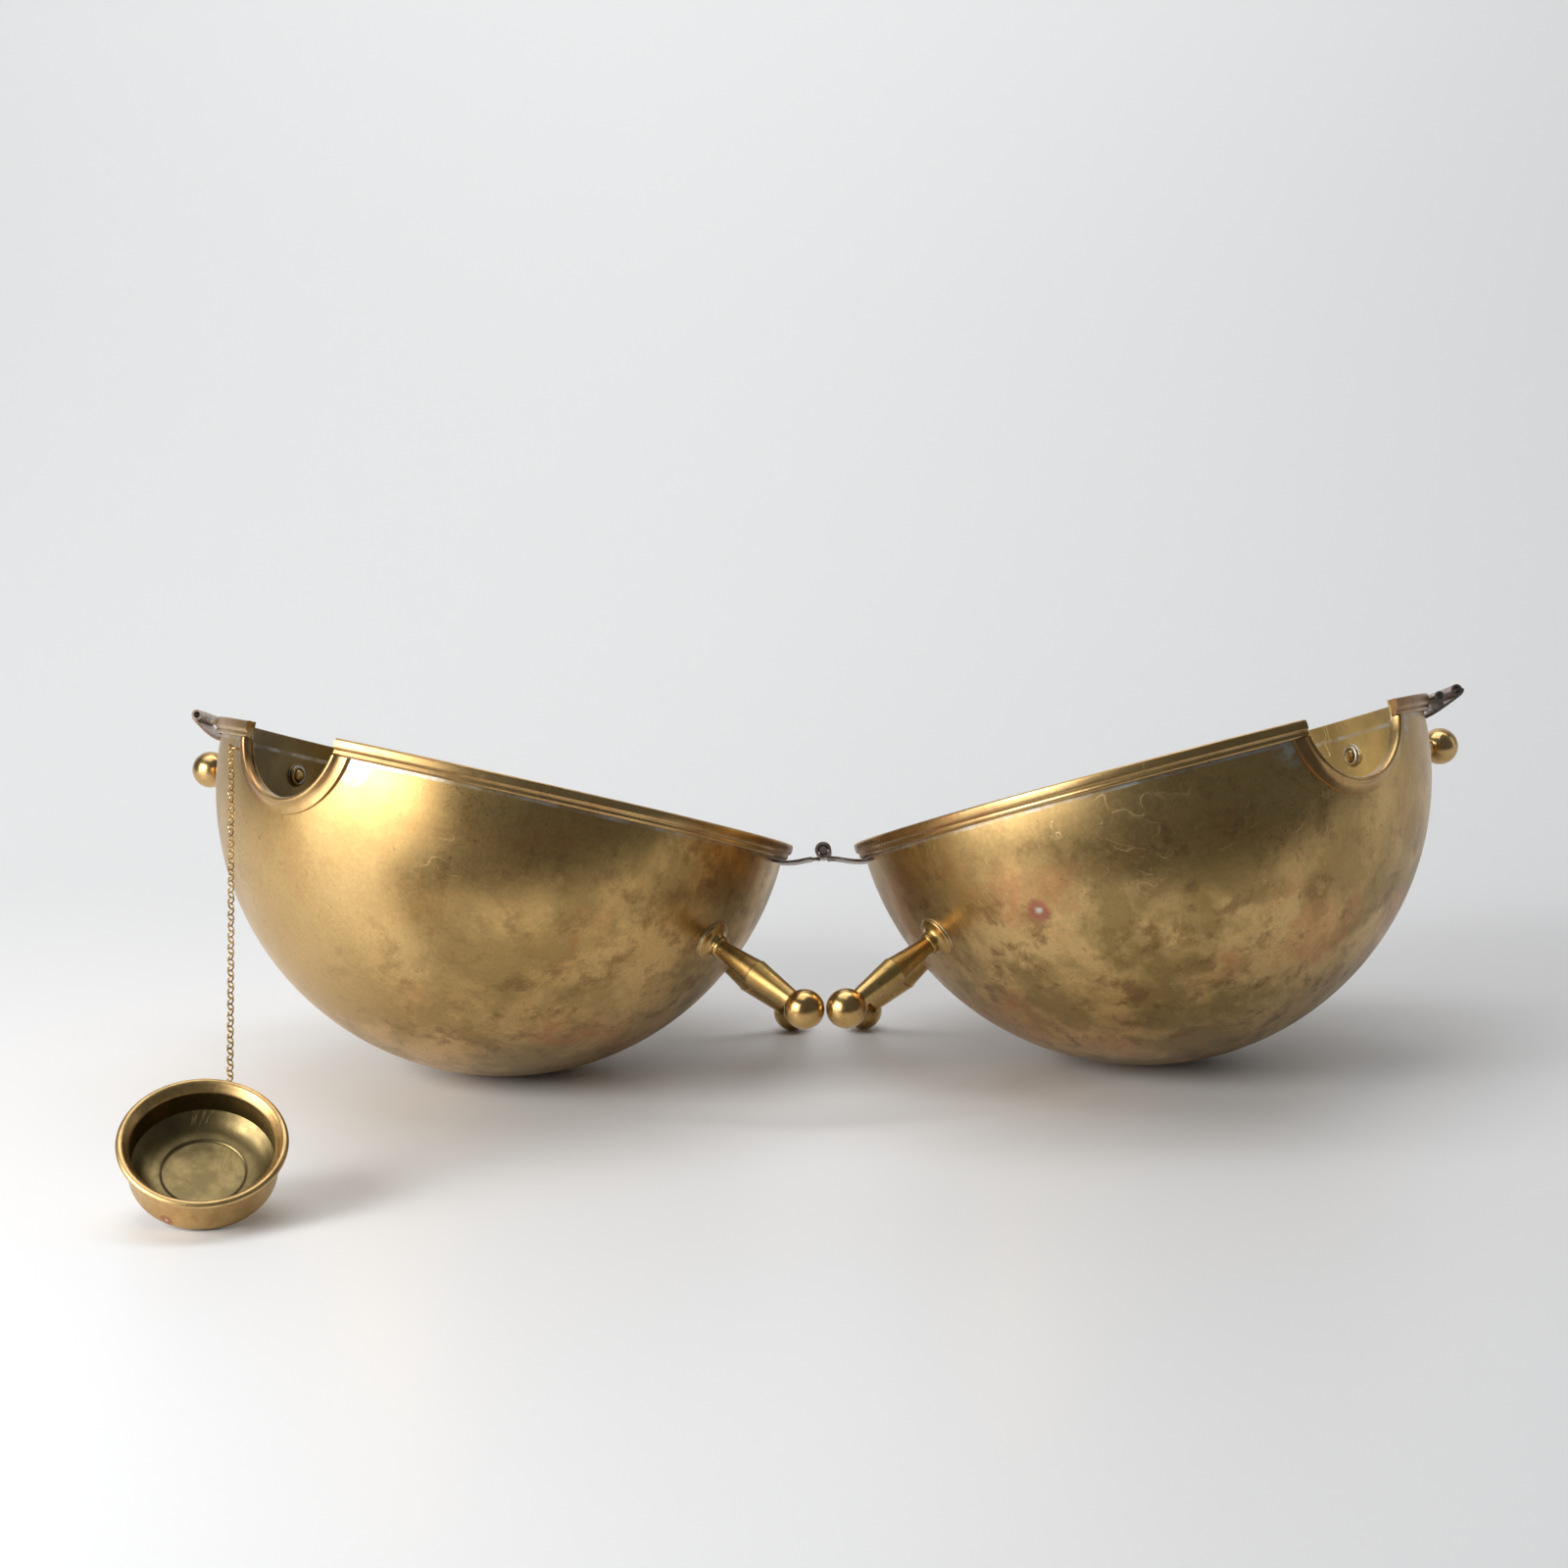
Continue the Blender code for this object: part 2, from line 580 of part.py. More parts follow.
cup_frame = empty("cup_frame", cup_joint, Matrix.Translation(-cup_eye) @ cup_turn)

cup_inner = CUP_RADIUS - 0.8 * MM
cup_profile = [
    (0.0, 1.7 * MM),
    (0.56 * cup_inner, 1.7 * MM),
    (0.61 * cup_inner, 2.2 * MM),
    (0.72 * cup_inner, 2.6 * MM),
    (0.86 * cup_inner, 3.9 * MM),
    (0.96 * cup_inner, 5.8 * MM),
    (cup_inner, 6.1 * MM),
    (cup_inner, CUP_DEPTH - 2.6 * MM),
    (CUP_RIM_RADIUS - 2.3 * MM, CUP_DEPTH - 0.6 * MM),
    (CUP_RIM_RADIUS - 1.4 * MM, CUP_DEPTH),
    (CUP_RIM_RADIUS - 0.5 * MM, CUP_DEPTH - 0.2 * MM),
    (CUP_RIM_RADIUS, CUP_DEPTH - 0.9 * MM),
    (CUP_RIM_RADIUS - 0.3 * MM, CUP_DEPTH - 1.7 * MM),
    (CUP_RIM_RADIUS - 1.3 * MM, CUP_DEPTH - 2.2 * MM),
    (CUP_RADIUS + 0.2 * MM, CUP_DEPTH - 2.8 * MM),
    (CUP_RADIUS, CUP_DEPTH - 3.8 * MM),
    *arc(CUP_CORNER, 0, -math.pi / 2, 5, (CUP_RADIUS - CUP_CORNER, CUP_CORNER)),
    (0.0, 0.0),
]
turned("stopper_cup", cup_profile, 36, cup_frame, Matrix(), "cup")
wire("cup_staple", staple_points(), STAPLE_WIRE, cup_frame,
     frame((CUP_RADIUS, 0, staple_height), (1, 0, 0), (0, 1, 0)), "chain")

# The chain as one smooth tube: it hangs from the eye and leans out to the cup.
span = cup_eye - eye
start = STAPLE_WIRE + CHAIN_RADIUS
path = []
for i in range(19):
    t = (start + (span.length - 2 * start) * i / 18) / span.length
    sag = 4 * CHAIN_SAG * t * (1 - t)
    path.append(span * t - Vector((0, 0, sag)))
wire("stopper_chain", path, CHAIN_RADIUS, chain_joint, Matrix(), "chain")

# The origin goes to the middle of the footprint of everything but the cord.
bpy.context.view_layer.update()
depsgraph = bpy.context.evaluated_depsgraph_get()
low = Vector((1.0, 1.0, 1.0))
high = -low
for item in PARTS.objects:
    if item.type == "EMPTY" or item.name in {"stopper_chain", "stopper_cup", "cup_staple"}:
        continue
    solid = item.evaluated_get(depsgraph)
    shape = solid.to_mesh()
    for vertex in shape.vertices:
        point = solid.matrix_world @ vertex.co
        low = Vector(map(min, low, point))
        high = Vector(map(max, high, point))
    solid.to_mesh_clear()
root.location = (-(low.x + high.x) / 2, -(low.y + high.y) / 2, -low.z)
bpy.context.view_layer.update()
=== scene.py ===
"""Looks for the hinged brass ball: finely turned brass pieces, solder, a link chain, camera and light.

Lengths are metres in the frame's axes. A bowl's own frame has its origin at the ball's centre,
X outward from the hinge, Z up out of the bowl.
"""

import math

import bmesh
import bpy
from mathutils import Matrix, Vector, noise


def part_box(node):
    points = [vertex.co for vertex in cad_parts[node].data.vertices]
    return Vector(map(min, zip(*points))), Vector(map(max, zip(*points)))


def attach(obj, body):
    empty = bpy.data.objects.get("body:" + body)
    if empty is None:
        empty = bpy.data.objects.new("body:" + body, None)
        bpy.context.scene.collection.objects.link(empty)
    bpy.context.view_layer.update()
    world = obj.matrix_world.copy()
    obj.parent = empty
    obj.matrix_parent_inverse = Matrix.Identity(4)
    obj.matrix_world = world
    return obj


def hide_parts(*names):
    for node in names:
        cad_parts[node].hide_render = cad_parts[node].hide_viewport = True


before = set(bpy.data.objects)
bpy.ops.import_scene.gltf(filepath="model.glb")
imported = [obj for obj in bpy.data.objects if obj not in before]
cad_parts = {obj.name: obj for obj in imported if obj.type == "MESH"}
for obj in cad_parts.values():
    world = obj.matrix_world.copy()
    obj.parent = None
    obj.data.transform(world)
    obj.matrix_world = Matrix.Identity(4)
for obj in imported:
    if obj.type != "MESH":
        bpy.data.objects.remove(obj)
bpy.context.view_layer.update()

MM = 0.001
BALL = 93.0 * MM
WALL = 0.8 * MM
HINGE_RISE = 2.9 * MM
RIM = HINGE_RISE - 0.15 * MM
FLAT_DEPTH = 0.42 * MM
BAND_HEIGHT = 5.3 * MM
BAND_PROUD = 2.7 * MM
MOUTH = 21.3 * MM
MOUTH_AZIMUTH = math.radians(49.3)
NECK_WIDTH = 5.0 * MM
NECK_PROUD = 2.3 * MM
LEG_LENGTH = 39.5 * MM
FOOT = 6.28 * MM
STEM = 2.6 * MM
KNOP = 4.6 * MM
KNOP_HEIGHT = 18.4 * MM
TANG = 2.0 * MM
FLANGE = 6.7 * MM
FLANGE_HEIGHT = 4.5 * MM
OPEN_TILT = math.radians(13.57)
LEAN = math.radians(12.5)
FRONT_AZIMUTH = math.radians(26.3)
REAR_SPLAY = math.radians(46.5)
UPPER_AZIMUTH = math.radians(146.1)
UPPER_DROP = math.radians(6.0)
FEET_CLEARANCE = 0.4 * MM
HINGE_REACH = BALL + 12.65 * MM
HINGE_LENGTH = 42.0 * MM
KNUCKLE = 2.6 * MM
KNUCKLE_BORE = 1.7 * MM
KNUCKLE_SPLIT = 8.7 * MM
LEAF = 0.85 * MM
CLASP_LENGTH = 29.0 * MM
CATCH_TUBE = (8.0 * MM, 1.0 * MM, 1.7 * MM, 1.05 * MM)
INNER_TUBE = (4.9 * MM, 2.0 * MM, 1.6 * MM, 1.0 * MM)
OUTER_TUBE = (10.7 * MM, 1.45 * MM, 1.8 * MM, 1.1 * MM)
CUP = 21.1 * MM
CUP_RIM = 24.3 * MM
CUP_DEPTH = 15.8 * MM
CUP_CORNER = 3.0 * MM
CUP_TILT = math.radians(32.3)
CUP_TURN = math.radians(6.5)
CUP_EYE_TURN = math.radians(7.0)
CUP_OFFSET = (-74.1 * MM, -159.9 * MM)
STAPLE_WIRE = 0.45 * MM
STAPLE_REACH = 2.3 * MM
STAPLE_WIDTH = 1.7 * MM
CHAIN_SAG = 2.5 * MM
EYE_STANDOFF = 4.5 * MM
EYE_DROP = 6.5 * MM
FOOT_REACH = BALL + LEG_LENGTH
CENTRE = BALL - FLAT_DEPTH


# ---------------------------------------------------------------- frames
def frame_at(origin, z_axis, x_hint):
    """A matrix at origin whose Z is z_axis and whose X is near x_hint."""
    z_axis = Vector(z_axis).normalized()
    x_axis = Vector(x_hint)
    x_axis = (x_axis - z_axis * z_axis.dot(x_axis)).normalized()
    matrix = Matrix((x_axis, z_axis.cross(x_axis), z_axis)).transposed().to_4x4()
    matrix.translation = Vector(origin)
    return matrix


def front_drop():
    """The front legs' angle below the rims, at which the two front feet just touch."""
    across = math.cos(FRONT_AZIMUTH) * math.cos(OPEN_TILT)
    down = math.sin(OPEN_TILT)
    reach = HINGE_REACH * math.cos(OPEN_TILT) + HINGE_RISE * down - FOOT - FEET_CLEARANCE / 2
    return math.acos(reach / (FOOT_REACH * math.hypot(across, down))) - math.atan2(down, across)


def rear_angles():
    """The rear legs' azimuth and drop, at which their feet stand on the floor.

    REAR_SPLAY is the angle between a rear leg and the level line from its ball's centre to the other's.
    """
    toward = math.cos(REAR_SPLAY)
    turn = LEAN + math.acos((CENTRE - FOOT) / (FOOT_REACH * math.sin(REAR_SPLAY)))
    down = math.sin(REAR_SPLAY) * math.cos(turn)
    back = math.sin(REAR_SPLAY) * math.sin(turn)
    along = toward * math.cos(OPEN_TILT) + down * math.sin(OPEN_TILT)
    below = down * math.cos(OPEN_TILT) - toward * math.sin(OPEN_TILT)
    return math.atan2(back, along), math.asin(below)


REAR_AZIMUTH, REAR_DROP = rear_angles()
# (name, azimuth from the hinge, side of the ball, drop below the rim)
LEGS = (
    ("front", FRONT_AZIMUTH, 1, front_drop()),
    ("rear", REAR_AZIMUTH, -1, REAR_DROP),
    ("upper", UPPER_AZIMUTH, -1, UPPER_DROP),
)

pin_low, pin_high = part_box("hinge_pin")
HINGE = (Vector(pin_low) + Vector(pin_high)) / 2
HINGE.x = 0.0
hinge_matrix = Matrix.Translation(HINGE) @ frame_at((0, 0, 0), (0, -math.cos(LEAN), math.sin(LEAN)), (1, 0, 0))


def half_matrix(side):
    """A bowl's frame at rest. side is 1 on the left and -1 on the right."""
    x_axis = Vector((-side * math.cos(OPEN_TILT), math.sin(OPEN_TILT), 0))
    y_axis = Vector((0, 0, side))
    matrix = Matrix((x_axis, y_axis, x_axis.cross(y_axis))).transposed().to_4x4()
    out = HINGE_REACH * math.cos(OPEN_TILT) + HINGE_RISE * math.sin(OPEN_TILT)
    up = HINGE_REACH * math.sin(OPEN_TILT) - HINGE_RISE * math.cos(OPEN_TILT)
    matrix.translation = Vector((-side * out, up, 0))
    return hinge_matrix @ matrix


HALVES = {"left": (1, half_matrix(1)), "right": (-1, half_matrix(-1))}


# ---------------------------------------------------------------- materials
class Nodes:
    """Short calls for building a material's node tree."""

    def __init__(self, name):
        self.material = bpy.data.materials.new(name)
        self.material.use_nodes = True
        self.tree = self.material.node_tree
        self.shader = self.tree.nodes["Principled BSDF"]
        self.where = self.tree.nodes.new("ShaderNodeTexCoord").outputs["Object"]

    def link(self, source, target):
        self.tree.links.new(source, target)

    def set(self, socket, value):
        if hasattr(value, "links"):
            self.link(value, socket)
        else:
            socket.default_value = value

    def noise(self, scale, detail=4.0, rough=0.55, vector=None, distortion=0.0):
        node = self.tree.nodes.new("ShaderNodeTexNoise")
        node.inputs["Scale"].default_value = scale
        node.inputs["Detail"].default_value = detail
        node.inputs["Roughness"].default_value = rough
        node.inputs["Distortion"].default_value = distortion
        self.link(vector or self.where, node.inputs["Vector"])
        return node.outputs["Fac"]

    def mapped(self, scale=(1, 1, 1), rotation=(0, 0, 0), location=(0, 0, 0)):
        node = self.tree.nodes.new("ShaderNodeMapping")
        node.inputs["Scale"].default_value = scale
        node.inputs["Rotation"].default_value = rotation
        node.inputs["Location"].default_value = location
        self.link(self.where, node.inputs["Vector"])
        return node.outputs["Vector"]

    def ramp(self, factor, *stops):
        """A grey ramp of (position, value) stops."""
        node = self.tree.nodes.new("ShaderNodeValToRGB")
        elements = node.color_ramp.elements
        while len(elements) < len(stops):
            elements.new(0.5)
        for element, (position, value) in zip(elements, stops):
            element.position = position
            element.color = (value, value, value, 1) if isinstance(value, (int, float)) else (*value, 1)
        self.link(factor, node.inputs["Fac"])
        return node.outputs["Color"]

    def math(self, operation, a, b=0.0):
        node = self.tree.nodes.new("ShaderNodeMath")
        node.operation = operation
        self.set(node.inputs[0], a)
        self.set(node.inputs[1], b)
        return node.outputs[0]

    def mix(self, factor, a, b):
        node = self.tree.nodes.new("ShaderNodeMix")
        node.data_type = "RGBA"
        self.set(node.inputs["Factor"], factor)
        for socket, value in ((node.inputs["A"], a), (node.inputs["B"], b)):
            self.set(socket, value if hasattr(value, "links") else (*value, 1.0))
        return node.outputs["Result"]

    def distance(self, point):
        """Distance from a point in the piece's own coordinates."""
        node = self.tree.nodes.new("ShaderNodeVectorMath")
        node.operation = "DISTANCE"
        self.link(self.where, node.inputs[0])
        node.inputs[1].default_value = point
        return node.outputs["Value"]

    def separate(self):
        node = self.tree.nodes.new("ShaderNodeSeparateXYZ")
        self.link(self.where, node.inputs[0])
        return node.outputs

    def bump(self, height, distance, strength=1.0, normal=None):
        node = self.tree.nodes.new("ShaderNodeBump")
        node.inputs["Distance"].default_value = distance
        node.inputs["Strength"].default_value = strength
        self.link(height, node.inputs["Height"])
        if normal:
            self.link(normal, node.inputs["Normal"])
        return node.outputs["Normal"]

    def finish(self, colour, roughness, metallic, normal):
        self.set(self.shader.inputs["Base Color"], colour if hasattr(colour, "links") else (*colour, 1))
        self.set(self.shader.inputs["Roughness"], roughness)
        self.set(self.shader.inputs["Metallic"], metallic)
        if normal:
            self.link(normal, self.shader.inputs["Normal"])
        return self.material


GOLD = (0.56, 0.345, 0.115)
PALE = (0.64, 0.43, 0.18)
OLIVE = (0.27, 0.185, 0.062)
UMBER = (0.20, 0.105, 0.038)
COPPER = (0.47, 0.185, 0.07)
TIN = (0.60, 0.60, 0.57)


def aged_brass(name, seed, blotch=16.0, base=GOLD, dark=0.5, copper=0.35, rough=0.25, scratches=0.6,
               spun=0.4, spots=(), tin_edges=(), tin_line=None, region=None, dents=0.5,
               inside=None):
    """Brass with patina clouds, copper bloom, spun lines, scratches and specks, with painted shade on its inner side.

    spots are (point, radius) blooms of copper with a grey eye. tin_edges are (point, reach) patches of
    solder and tin_line is (height, width) of a solder seam. region is (direction, from, to): patina
    grows along it. inside is (a function that makes a mask, a colour): painted shade on the hidden inner side.
    """
    n = Nodes(name)
    shift = n.mapped(location=(seed * 0.37, seed * 0.71, seed * 0.13))
    broad = n.noise(blotch * 0.55, 3.0, 0.5, shift)
    patches = n.noise(blotch * 1.9, 9.0, 0.64, shift, 0.15)
    mottle = n.noise(blotch * 6.5, 6.0, 0.66, shift, 0.2)
    fine = n.noise(blotch * 55, 4.0, 0.7, shift)
    colour = n.mix(n.ramp(broad, (0.38, 0.0), (0.62, 1.0)), base, PALE)
    where_old = n.ramp(broad, (0.36, 1.0), (0.60, 0.25))
    if region:
        (dx, dy, dz), start, end = region
        axes = n.separate()
        along = n.math("ADD", n.math("MULTIPLY", axes["X"], dx),
                       n.math("ADD", n.math("MULTIPLY", axes["Y"], dy), n.math("MULTIPLY", axes["Z"], dz)))
        along = n.math("ADD", along, n.math("MULTIPLY", n.math("SUBTRACT", patches, 0.5), 0.06))
        spread = n.tree.nodes.new("ShaderNodeMapRange")
        spread.inputs["From Min"].default_value = start
        spread.inputs["From Max"].default_value = end
        n.link(along, spread.inputs["Value"])
        where_old = n.math("MAXIMUM", n.math("MULTIPLY", where_old, 0.35), spread.outputs["Result"])
    tarnish = n.math("MULTIPLY", n.ramp(patches, (0.43, 1.0), (0.56, 0.0)), n.math("MULTIPLY", where_old, dark))
    colour = n.mix(tarnish, colour, OLIVE)
    brown = n.math("MULTIPLY", n.ramp(mottle, (0.36, 1.0), (0.48, 0.0)), n.math("MULTIPLY", where_old, dark * 0.8))
    colour = n.mix(brown, colour, UMBER)
    bloom = n.noise(blotch * 1.5, 7.0, 0.62, n.mapped(location=(seed * 0.9 + 3, seed * 0.2, 5)), 0.1)
    bloom = n.ramp(bloom, (0.53, 0.0), (0.62, 1.0))
    bloom = n.math("MULTIPLY", bloom, n.math("MULTIPLY", n.ramp(mottle, (0.40, 0.35), (0.60, 1.0)), copper))
    if region:
        bloom = n.math("MULTIPLY", bloom, n.math("ADD", n.math("MULTIPLY", where_old, 0.9), 0.1))
    colour = n.mix(bloom, colour, COPPER)
    specks = n.ramp(n.noise(blotch * 30, 3.0, 0.6, shift), (0.66, 0.0), (0.72, 1.0))
    colour = n.mix(n.math("MULTIPLY", specks, 0.4), colour, UMBER)
    grime = n.ramp(fine, (0.30, 0.86), (0.70, 1.07))
    shade = n.tree.nodes.new("ShaderNodeMix")
    shade.data_type = "RGBA"
    shade.blend_type = "MULTIPLY"
    shade.inputs["Factor"].default_value = 1.0
    n.link(colour, shade.inputs["A"])
    n.link(grime, shade.inputs["B"])
    colour = shade.outputs["Result"]
    # Scratches are thin ridges of stretched noise in three directions.
    cuts = None
    for i, (turn, stretch) in enumerate((((0.4, 0.2, 0.9), 9), ((1.2, 0.5, -0.6), 7), ((0.1, 1.1, 0.3), 11))):
        lines = n.noise(34, 2.0, 0.5, n.mapped((1, stretch, 1), turn, (seed + i * 3.1, i, 0)), 0.2)
        ridge = n.math("ABSOLUTE", n.math("SUBTRACT", lines, 0.5))
        cut = n.ramp(ridge, (0.0, 1.0), (0.0045, 0.0))
        mask = n.ramp(n.noise(48, 4.0, 0.6, n.mapped(location=(i * 5, seed, 2))), (0.54, 0.0), (0.60, 1.0))
        cut = n.math("MULTIPLY", cut, mask)
        cuts = cut if cuts is None else n.math("MAXIMUM", cuts, cut)
    cuts = n.math("MULTIPLY", cuts, scratches)
    colour = n.mix(n.math("MULTIPLY", cuts, 0.5), colour, (0.78, 0.56, 0.28))
    roughness = n.math("ADD", n.math("MULTIPLY", n.ramp(patches, (0.38, 1.0), (0.62, 0.0)), 0.10), rough)
    roughness = n.math("ADD", roughness, n.math("MULTIPLY", n.ramp(fine, (0.3, 0.0), (0.7, 1.0)), 0.06))
    roughness = n.math("ADD", roughness, n.math("MULTIPLY", cuts, 0.12))
    # The inside colour is painted shade: a darker, patchy tint on the hidden inner walls.
    if inside:
        hidden, tint = inside
        inside_shade = n.mix(n.ramp(patches, (0.42, 0.0), (0.60, 1.0)), tint, tuple(1.5 * part for part in tint))
        colour = n.mix(hidden(n), colour, inside_shade)
    solder = None
    for point, reach in tin_edges:
        near = n.ramp(n.math("DIVIDE", n.distance(point), reach), (0.15, 1.0), (1.0, 0.0))
        patchy = n.math("MULTIPLY", near, n.ramp(n.noise(420, 4.0, 0.7), (0.40, 0.0), (0.55, 1.0)))
        solder = patchy if solder is None else n.math("MAXIMUM", solder, patchy)
    if tin_line:
        height, width = tin_line
        away = n.math("ABSOLUTE", n.math("SUBTRACT", n.separate()["Z"], height))
        line = n.ramp(n.math("DIVIDE", away, width), (0.4, 1.0), (1.0, 0.0))
        line = n.math("MULTIPLY", line, n.ramp(n.noise(95, 5.0, 0.7), (0.44, 0.15), (0.62, 0.9)))
        solder = line if solder is None else n.math("MAXIMUM", solder, line)
    for point, radius in spots:
        away = n.math("DIVIDE", n.distance(point), radius)
        away = n.math("ADD", away, n.math("MULTIPLY", n.math("SUBTRACT", n.noise(260, 4.0), 0.5), 0.9))
        ring = n.ramp(away, (0.15, 0.0), (0.40, 0.75), (0.70, 0.6), (1.05, 0.0))
        colour = n.mix(ring, colour, (0.36, 0.105, 0.085))
        eye = n.ramp(away, (0.10, 0.9), (0.28, 0.0))
        colour = n.mix(eye, colour, (0.60, 0.56, 0.58))
    if solder is not None:
        colour = n.mix(solder, colour, TIN)
        roughness = n.math("ADD", roughness, n.math("MULTIPLY", solder, 0.12))
    normal = None
    if dents:
        normal = n.bump(n.noise(13.0, 2.0, 0.4, shift), 0.0022, dents)
    if spun:
        rings = n.noise(1500, 2.0, 0.6, n.mapped((0.01, 0.01, 1.0)))
        normal = n.bump(rings, 0.00002, spun, normal)
    normal = n.bump(n.noise(1100, 5.0, 0.75, shift), 0.00004, 0.45, normal)
    normal = n.bump(cuts, 0.00005, 0.6, normal)
    n.shader.inputs["Coat Weight"].default_value = 0.12
    n.shader.inputs["Coat Roughness"].default_value = 0.28
    return n.finish(colour, roughness, 0.97, normal)


def within_ball(n):
    """A mask of the inner side of a bowl's wall, where the painted shade goes."""
    return n.math("LESS_THAN", n.distance((0.0, 0.0, 0.0)), BALL - WALL / 2)


def within_cup(n):
    """A mask of the inner side of the cup, where the painted shade goes."""
    axes = n.separate()
    out = n.math("ADD", n.math("POWER", axes["X"], 2.0), n.math("POWER", axes["Y"], 2.0))
    near = n.math("LESS_THAN", out, (CUP - 0.4 * MM)**2)
    high = n.math("GREATER_THAN", axes["Z"], 1.2 * MM)
    low = n.math("LESS_THAN", axes["Z"], CUP_DEPTH - 2.6 * MM)
    return n.math("MULTIPLY", near, n.math("MULTIPLY", high, low))


def tin(name, seed):
    """Dull, lumpy solder with brass showing through."""
    n = Nodes(name)
    where = n.mapped(location=(seed, seed * 2, 1))
    patches = n.noise(150, 6.0, 0.7, where)
    colour = n.mix(n.ramp(patches, (0.47, 0.0), (0.60, 1.0)), (0.40, 0.30, 0.15), TIN)
    roughness = n.ramp(n.noise(400, 4.0, 0.6, where), (0.3, 0.30), (0.7, 0.55))
    normal = n.bump(n.noise(700, 5.0, 0.7, where), 0.0002, 0.8)
    return n.finish(colour, roughness, 0.92, normal)


def leaf_metal(name, seed):
    """Browned sheet brass with grey wear and pink copper."""
    n = Nodes(name)
    where = n.mapped(location=(seed, 1, seed * 0.3))
    clouds = n.noise(110, 6.0, 0.65, where, 0.5)
    colour = n.mix(n.ramp(clouds, (0.40, 0.0), (0.60, 1.0)), (0.20, 0.13, 0.09), (0.50, 0.42, 0.36))
    bloom = n.ramp(n.noise(190, 4.0, 0.6, where), (0.55, 0.0), (0.68, 0.7))
    colour = n.mix(bloom, colour, (0.52, 0.30, 0.22))
    roughness = n.ramp(n.noise(300, 4.0, 0.6, where), (0.3, 0.24), (0.7, 0.45))
    normal = n.bump(n.noise(800, 5.0, 0.7, where), 0.0001, 0.6)
    return n.finish(colour, roughness, 1.0, normal)


# ---------------------------------------------------------------- shapes
def add_mesh(name, mesh, matrix, material, body, nodes):
    """Puts a mesh in the scene on its body, in place of the named CAD nodes."""
    obj = bpy.data.objects.new(name, mesh)
    bpy.context.scene.collection.objects.link(obj)
    obj.matrix_world = matrix
    mesh.materials.append(material)
    bpy.context.view_layer.update()
    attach(obj, body)
    if nodes:
        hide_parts(*nodes)
    return obj


def smooth(points, ring=False, rounds=2):
    """Corner-cut an (r, z) profile, so that its arrises are rounded."""
    for _ in range(rounds):
        count = len(points)
        last = count if ring else count - 1
        cut = [] if ring else [points[0]]
        for i in range(last):
            (ax, ay), (bx, by) = points[i], points[(i + 1) % count]
            cut.append((0.75 * ax + 0.25 * bx, 0.75 * ay + 0.25 * by))
            cut.append((0.25 * ax + 0.75 * bx, 0.25 * ay + 0.75 * by))
        if not ring:
            cut.append(points[-1])
        points = cut
    return points


def arc(radius, start, end, count, centre=(0.0, 0.0)):
    angles = [start + (end - start) * i / (count - 1) for i in range(count)]
    return [(centre[0] + radius * math.cos(a), centre[1] + radius * math.sin(a)) for a in angles]


def lathe(name, profile, steps, ring=False, wobble=None):
    """A turned mesh from (r, z) points: the outer side runs from top to bottom."""
    shape = bmesh.new()
    rows = []
    for r, z in profile:
        if r < 1e-9:
            rows.append([shape.verts.new((0, 0, z))])
            continue
        row = []
        for i in range(steps):
            a = 2 * math.pi * i / steps
            point = Vector((r * math.cos(a), r * math.sin(a), z))
            if wobble:
                point = wobble(point)
            row.append(shape.verts.new(point))
        rows.append(row)
    pairs = list(zip(rows, rows[1:]))
    if ring:
        pairs.append((rows[-1], rows[0]))
    for upper, lower in pairs:
        for i in range(steps):
            j = (i + 1) % steps
            if len(upper) == 1 and len(lower) == 1:
                continue
            if len(upper) == 1:
                shape.faces.new((upper[0], lower[i], lower[j]))
            elif len(lower) == 1:
                shape.faces.new((upper[i], lower[0], upper[j]))
            else:
                shape.faces.new((upper[i], lower[i], lower[j], upper[j]))
    return shape


def to_mesh(name, shape, angle=35.0):
    """A smooth-shaded mesh with sharp edges above an angle."""
    bmesh.ops.recalc_face_normals(shape, faces=shape.faces)
    mesh = bpy.data.meshes.new(name)
    shape.to_mesh(mesh)
    shape.free()
    mesh.shade_smooth()
    mesh.set_sharp_from_angle(angle=math.radians(angle))
    return mesh


def cylinder(radius, low, high, steps, matrix):
    shape = bmesh.new()
    bmesh.ops.create_cone(shape, cap_ends=True, segments=steps, radius1=radius, radius2=radius,
                          depth=high - low)
    bmesh.ops.translate(shape, vec=(0, 0, (low + high) / 2), verts=shape.verts)
    bmesh.ops.transform(shape, matrix=matrix, verts=shape.verts)
    return shape


def block(low, high, matrix=Matrix()):
    shape = bmesh.new()
    bmesh.ops.create_cube(shape, size=1.0)
    low = Vector(low)
    high = Vector(high)
    bmesh.ops.scale(shape, vec=high - low, verts=shape.verts)
    bmesh.ops.translate(shape, vec=(low + high) / 2, verts=shape.verts)
    bmesh.ops.transform(shape, matrix=matrix, verts=shape.verts)
    return shape


def carve(shape, steps):
    """shape after exact Booleans with (operation, cutter bmesh) steps."""
    def holder(name, source):
        bmesh.ops.recalc_face_normals(source, faces=source.faces)
        mesh = bpy.data.meshes.new(name)
        source.to_mesh(mesh)
        source.free()
        obj = bpy.data.objects.new(name, mesh)
        bpy.context.scene.collection.objects.link(obj)
        return obj

    base = holder("carve_base", shape)
    cutters = []
    for operation, cutter in steps:
        other = holder("carve_cutter", cutter)
        cutters.append(other)
        boolean = base.modifiers.new("cut", "BOOLEAN")
        boolean.solver = "EXACT"
        boolean.operation = operation
        boolean.object = other
    bpy.context.view_layer.update()
    evaluated = base.evaluated_get(bpy.context.evaluated_depsgraph_get())
    result = bmesh.new()
    result.from_mesh(evaluated.to_mesh())
    evaluated.to_mesh_clear()
    for obj in [base, *cutters]:
        bpy.data.objects.remove(obj, do_unlink=True)
    return result


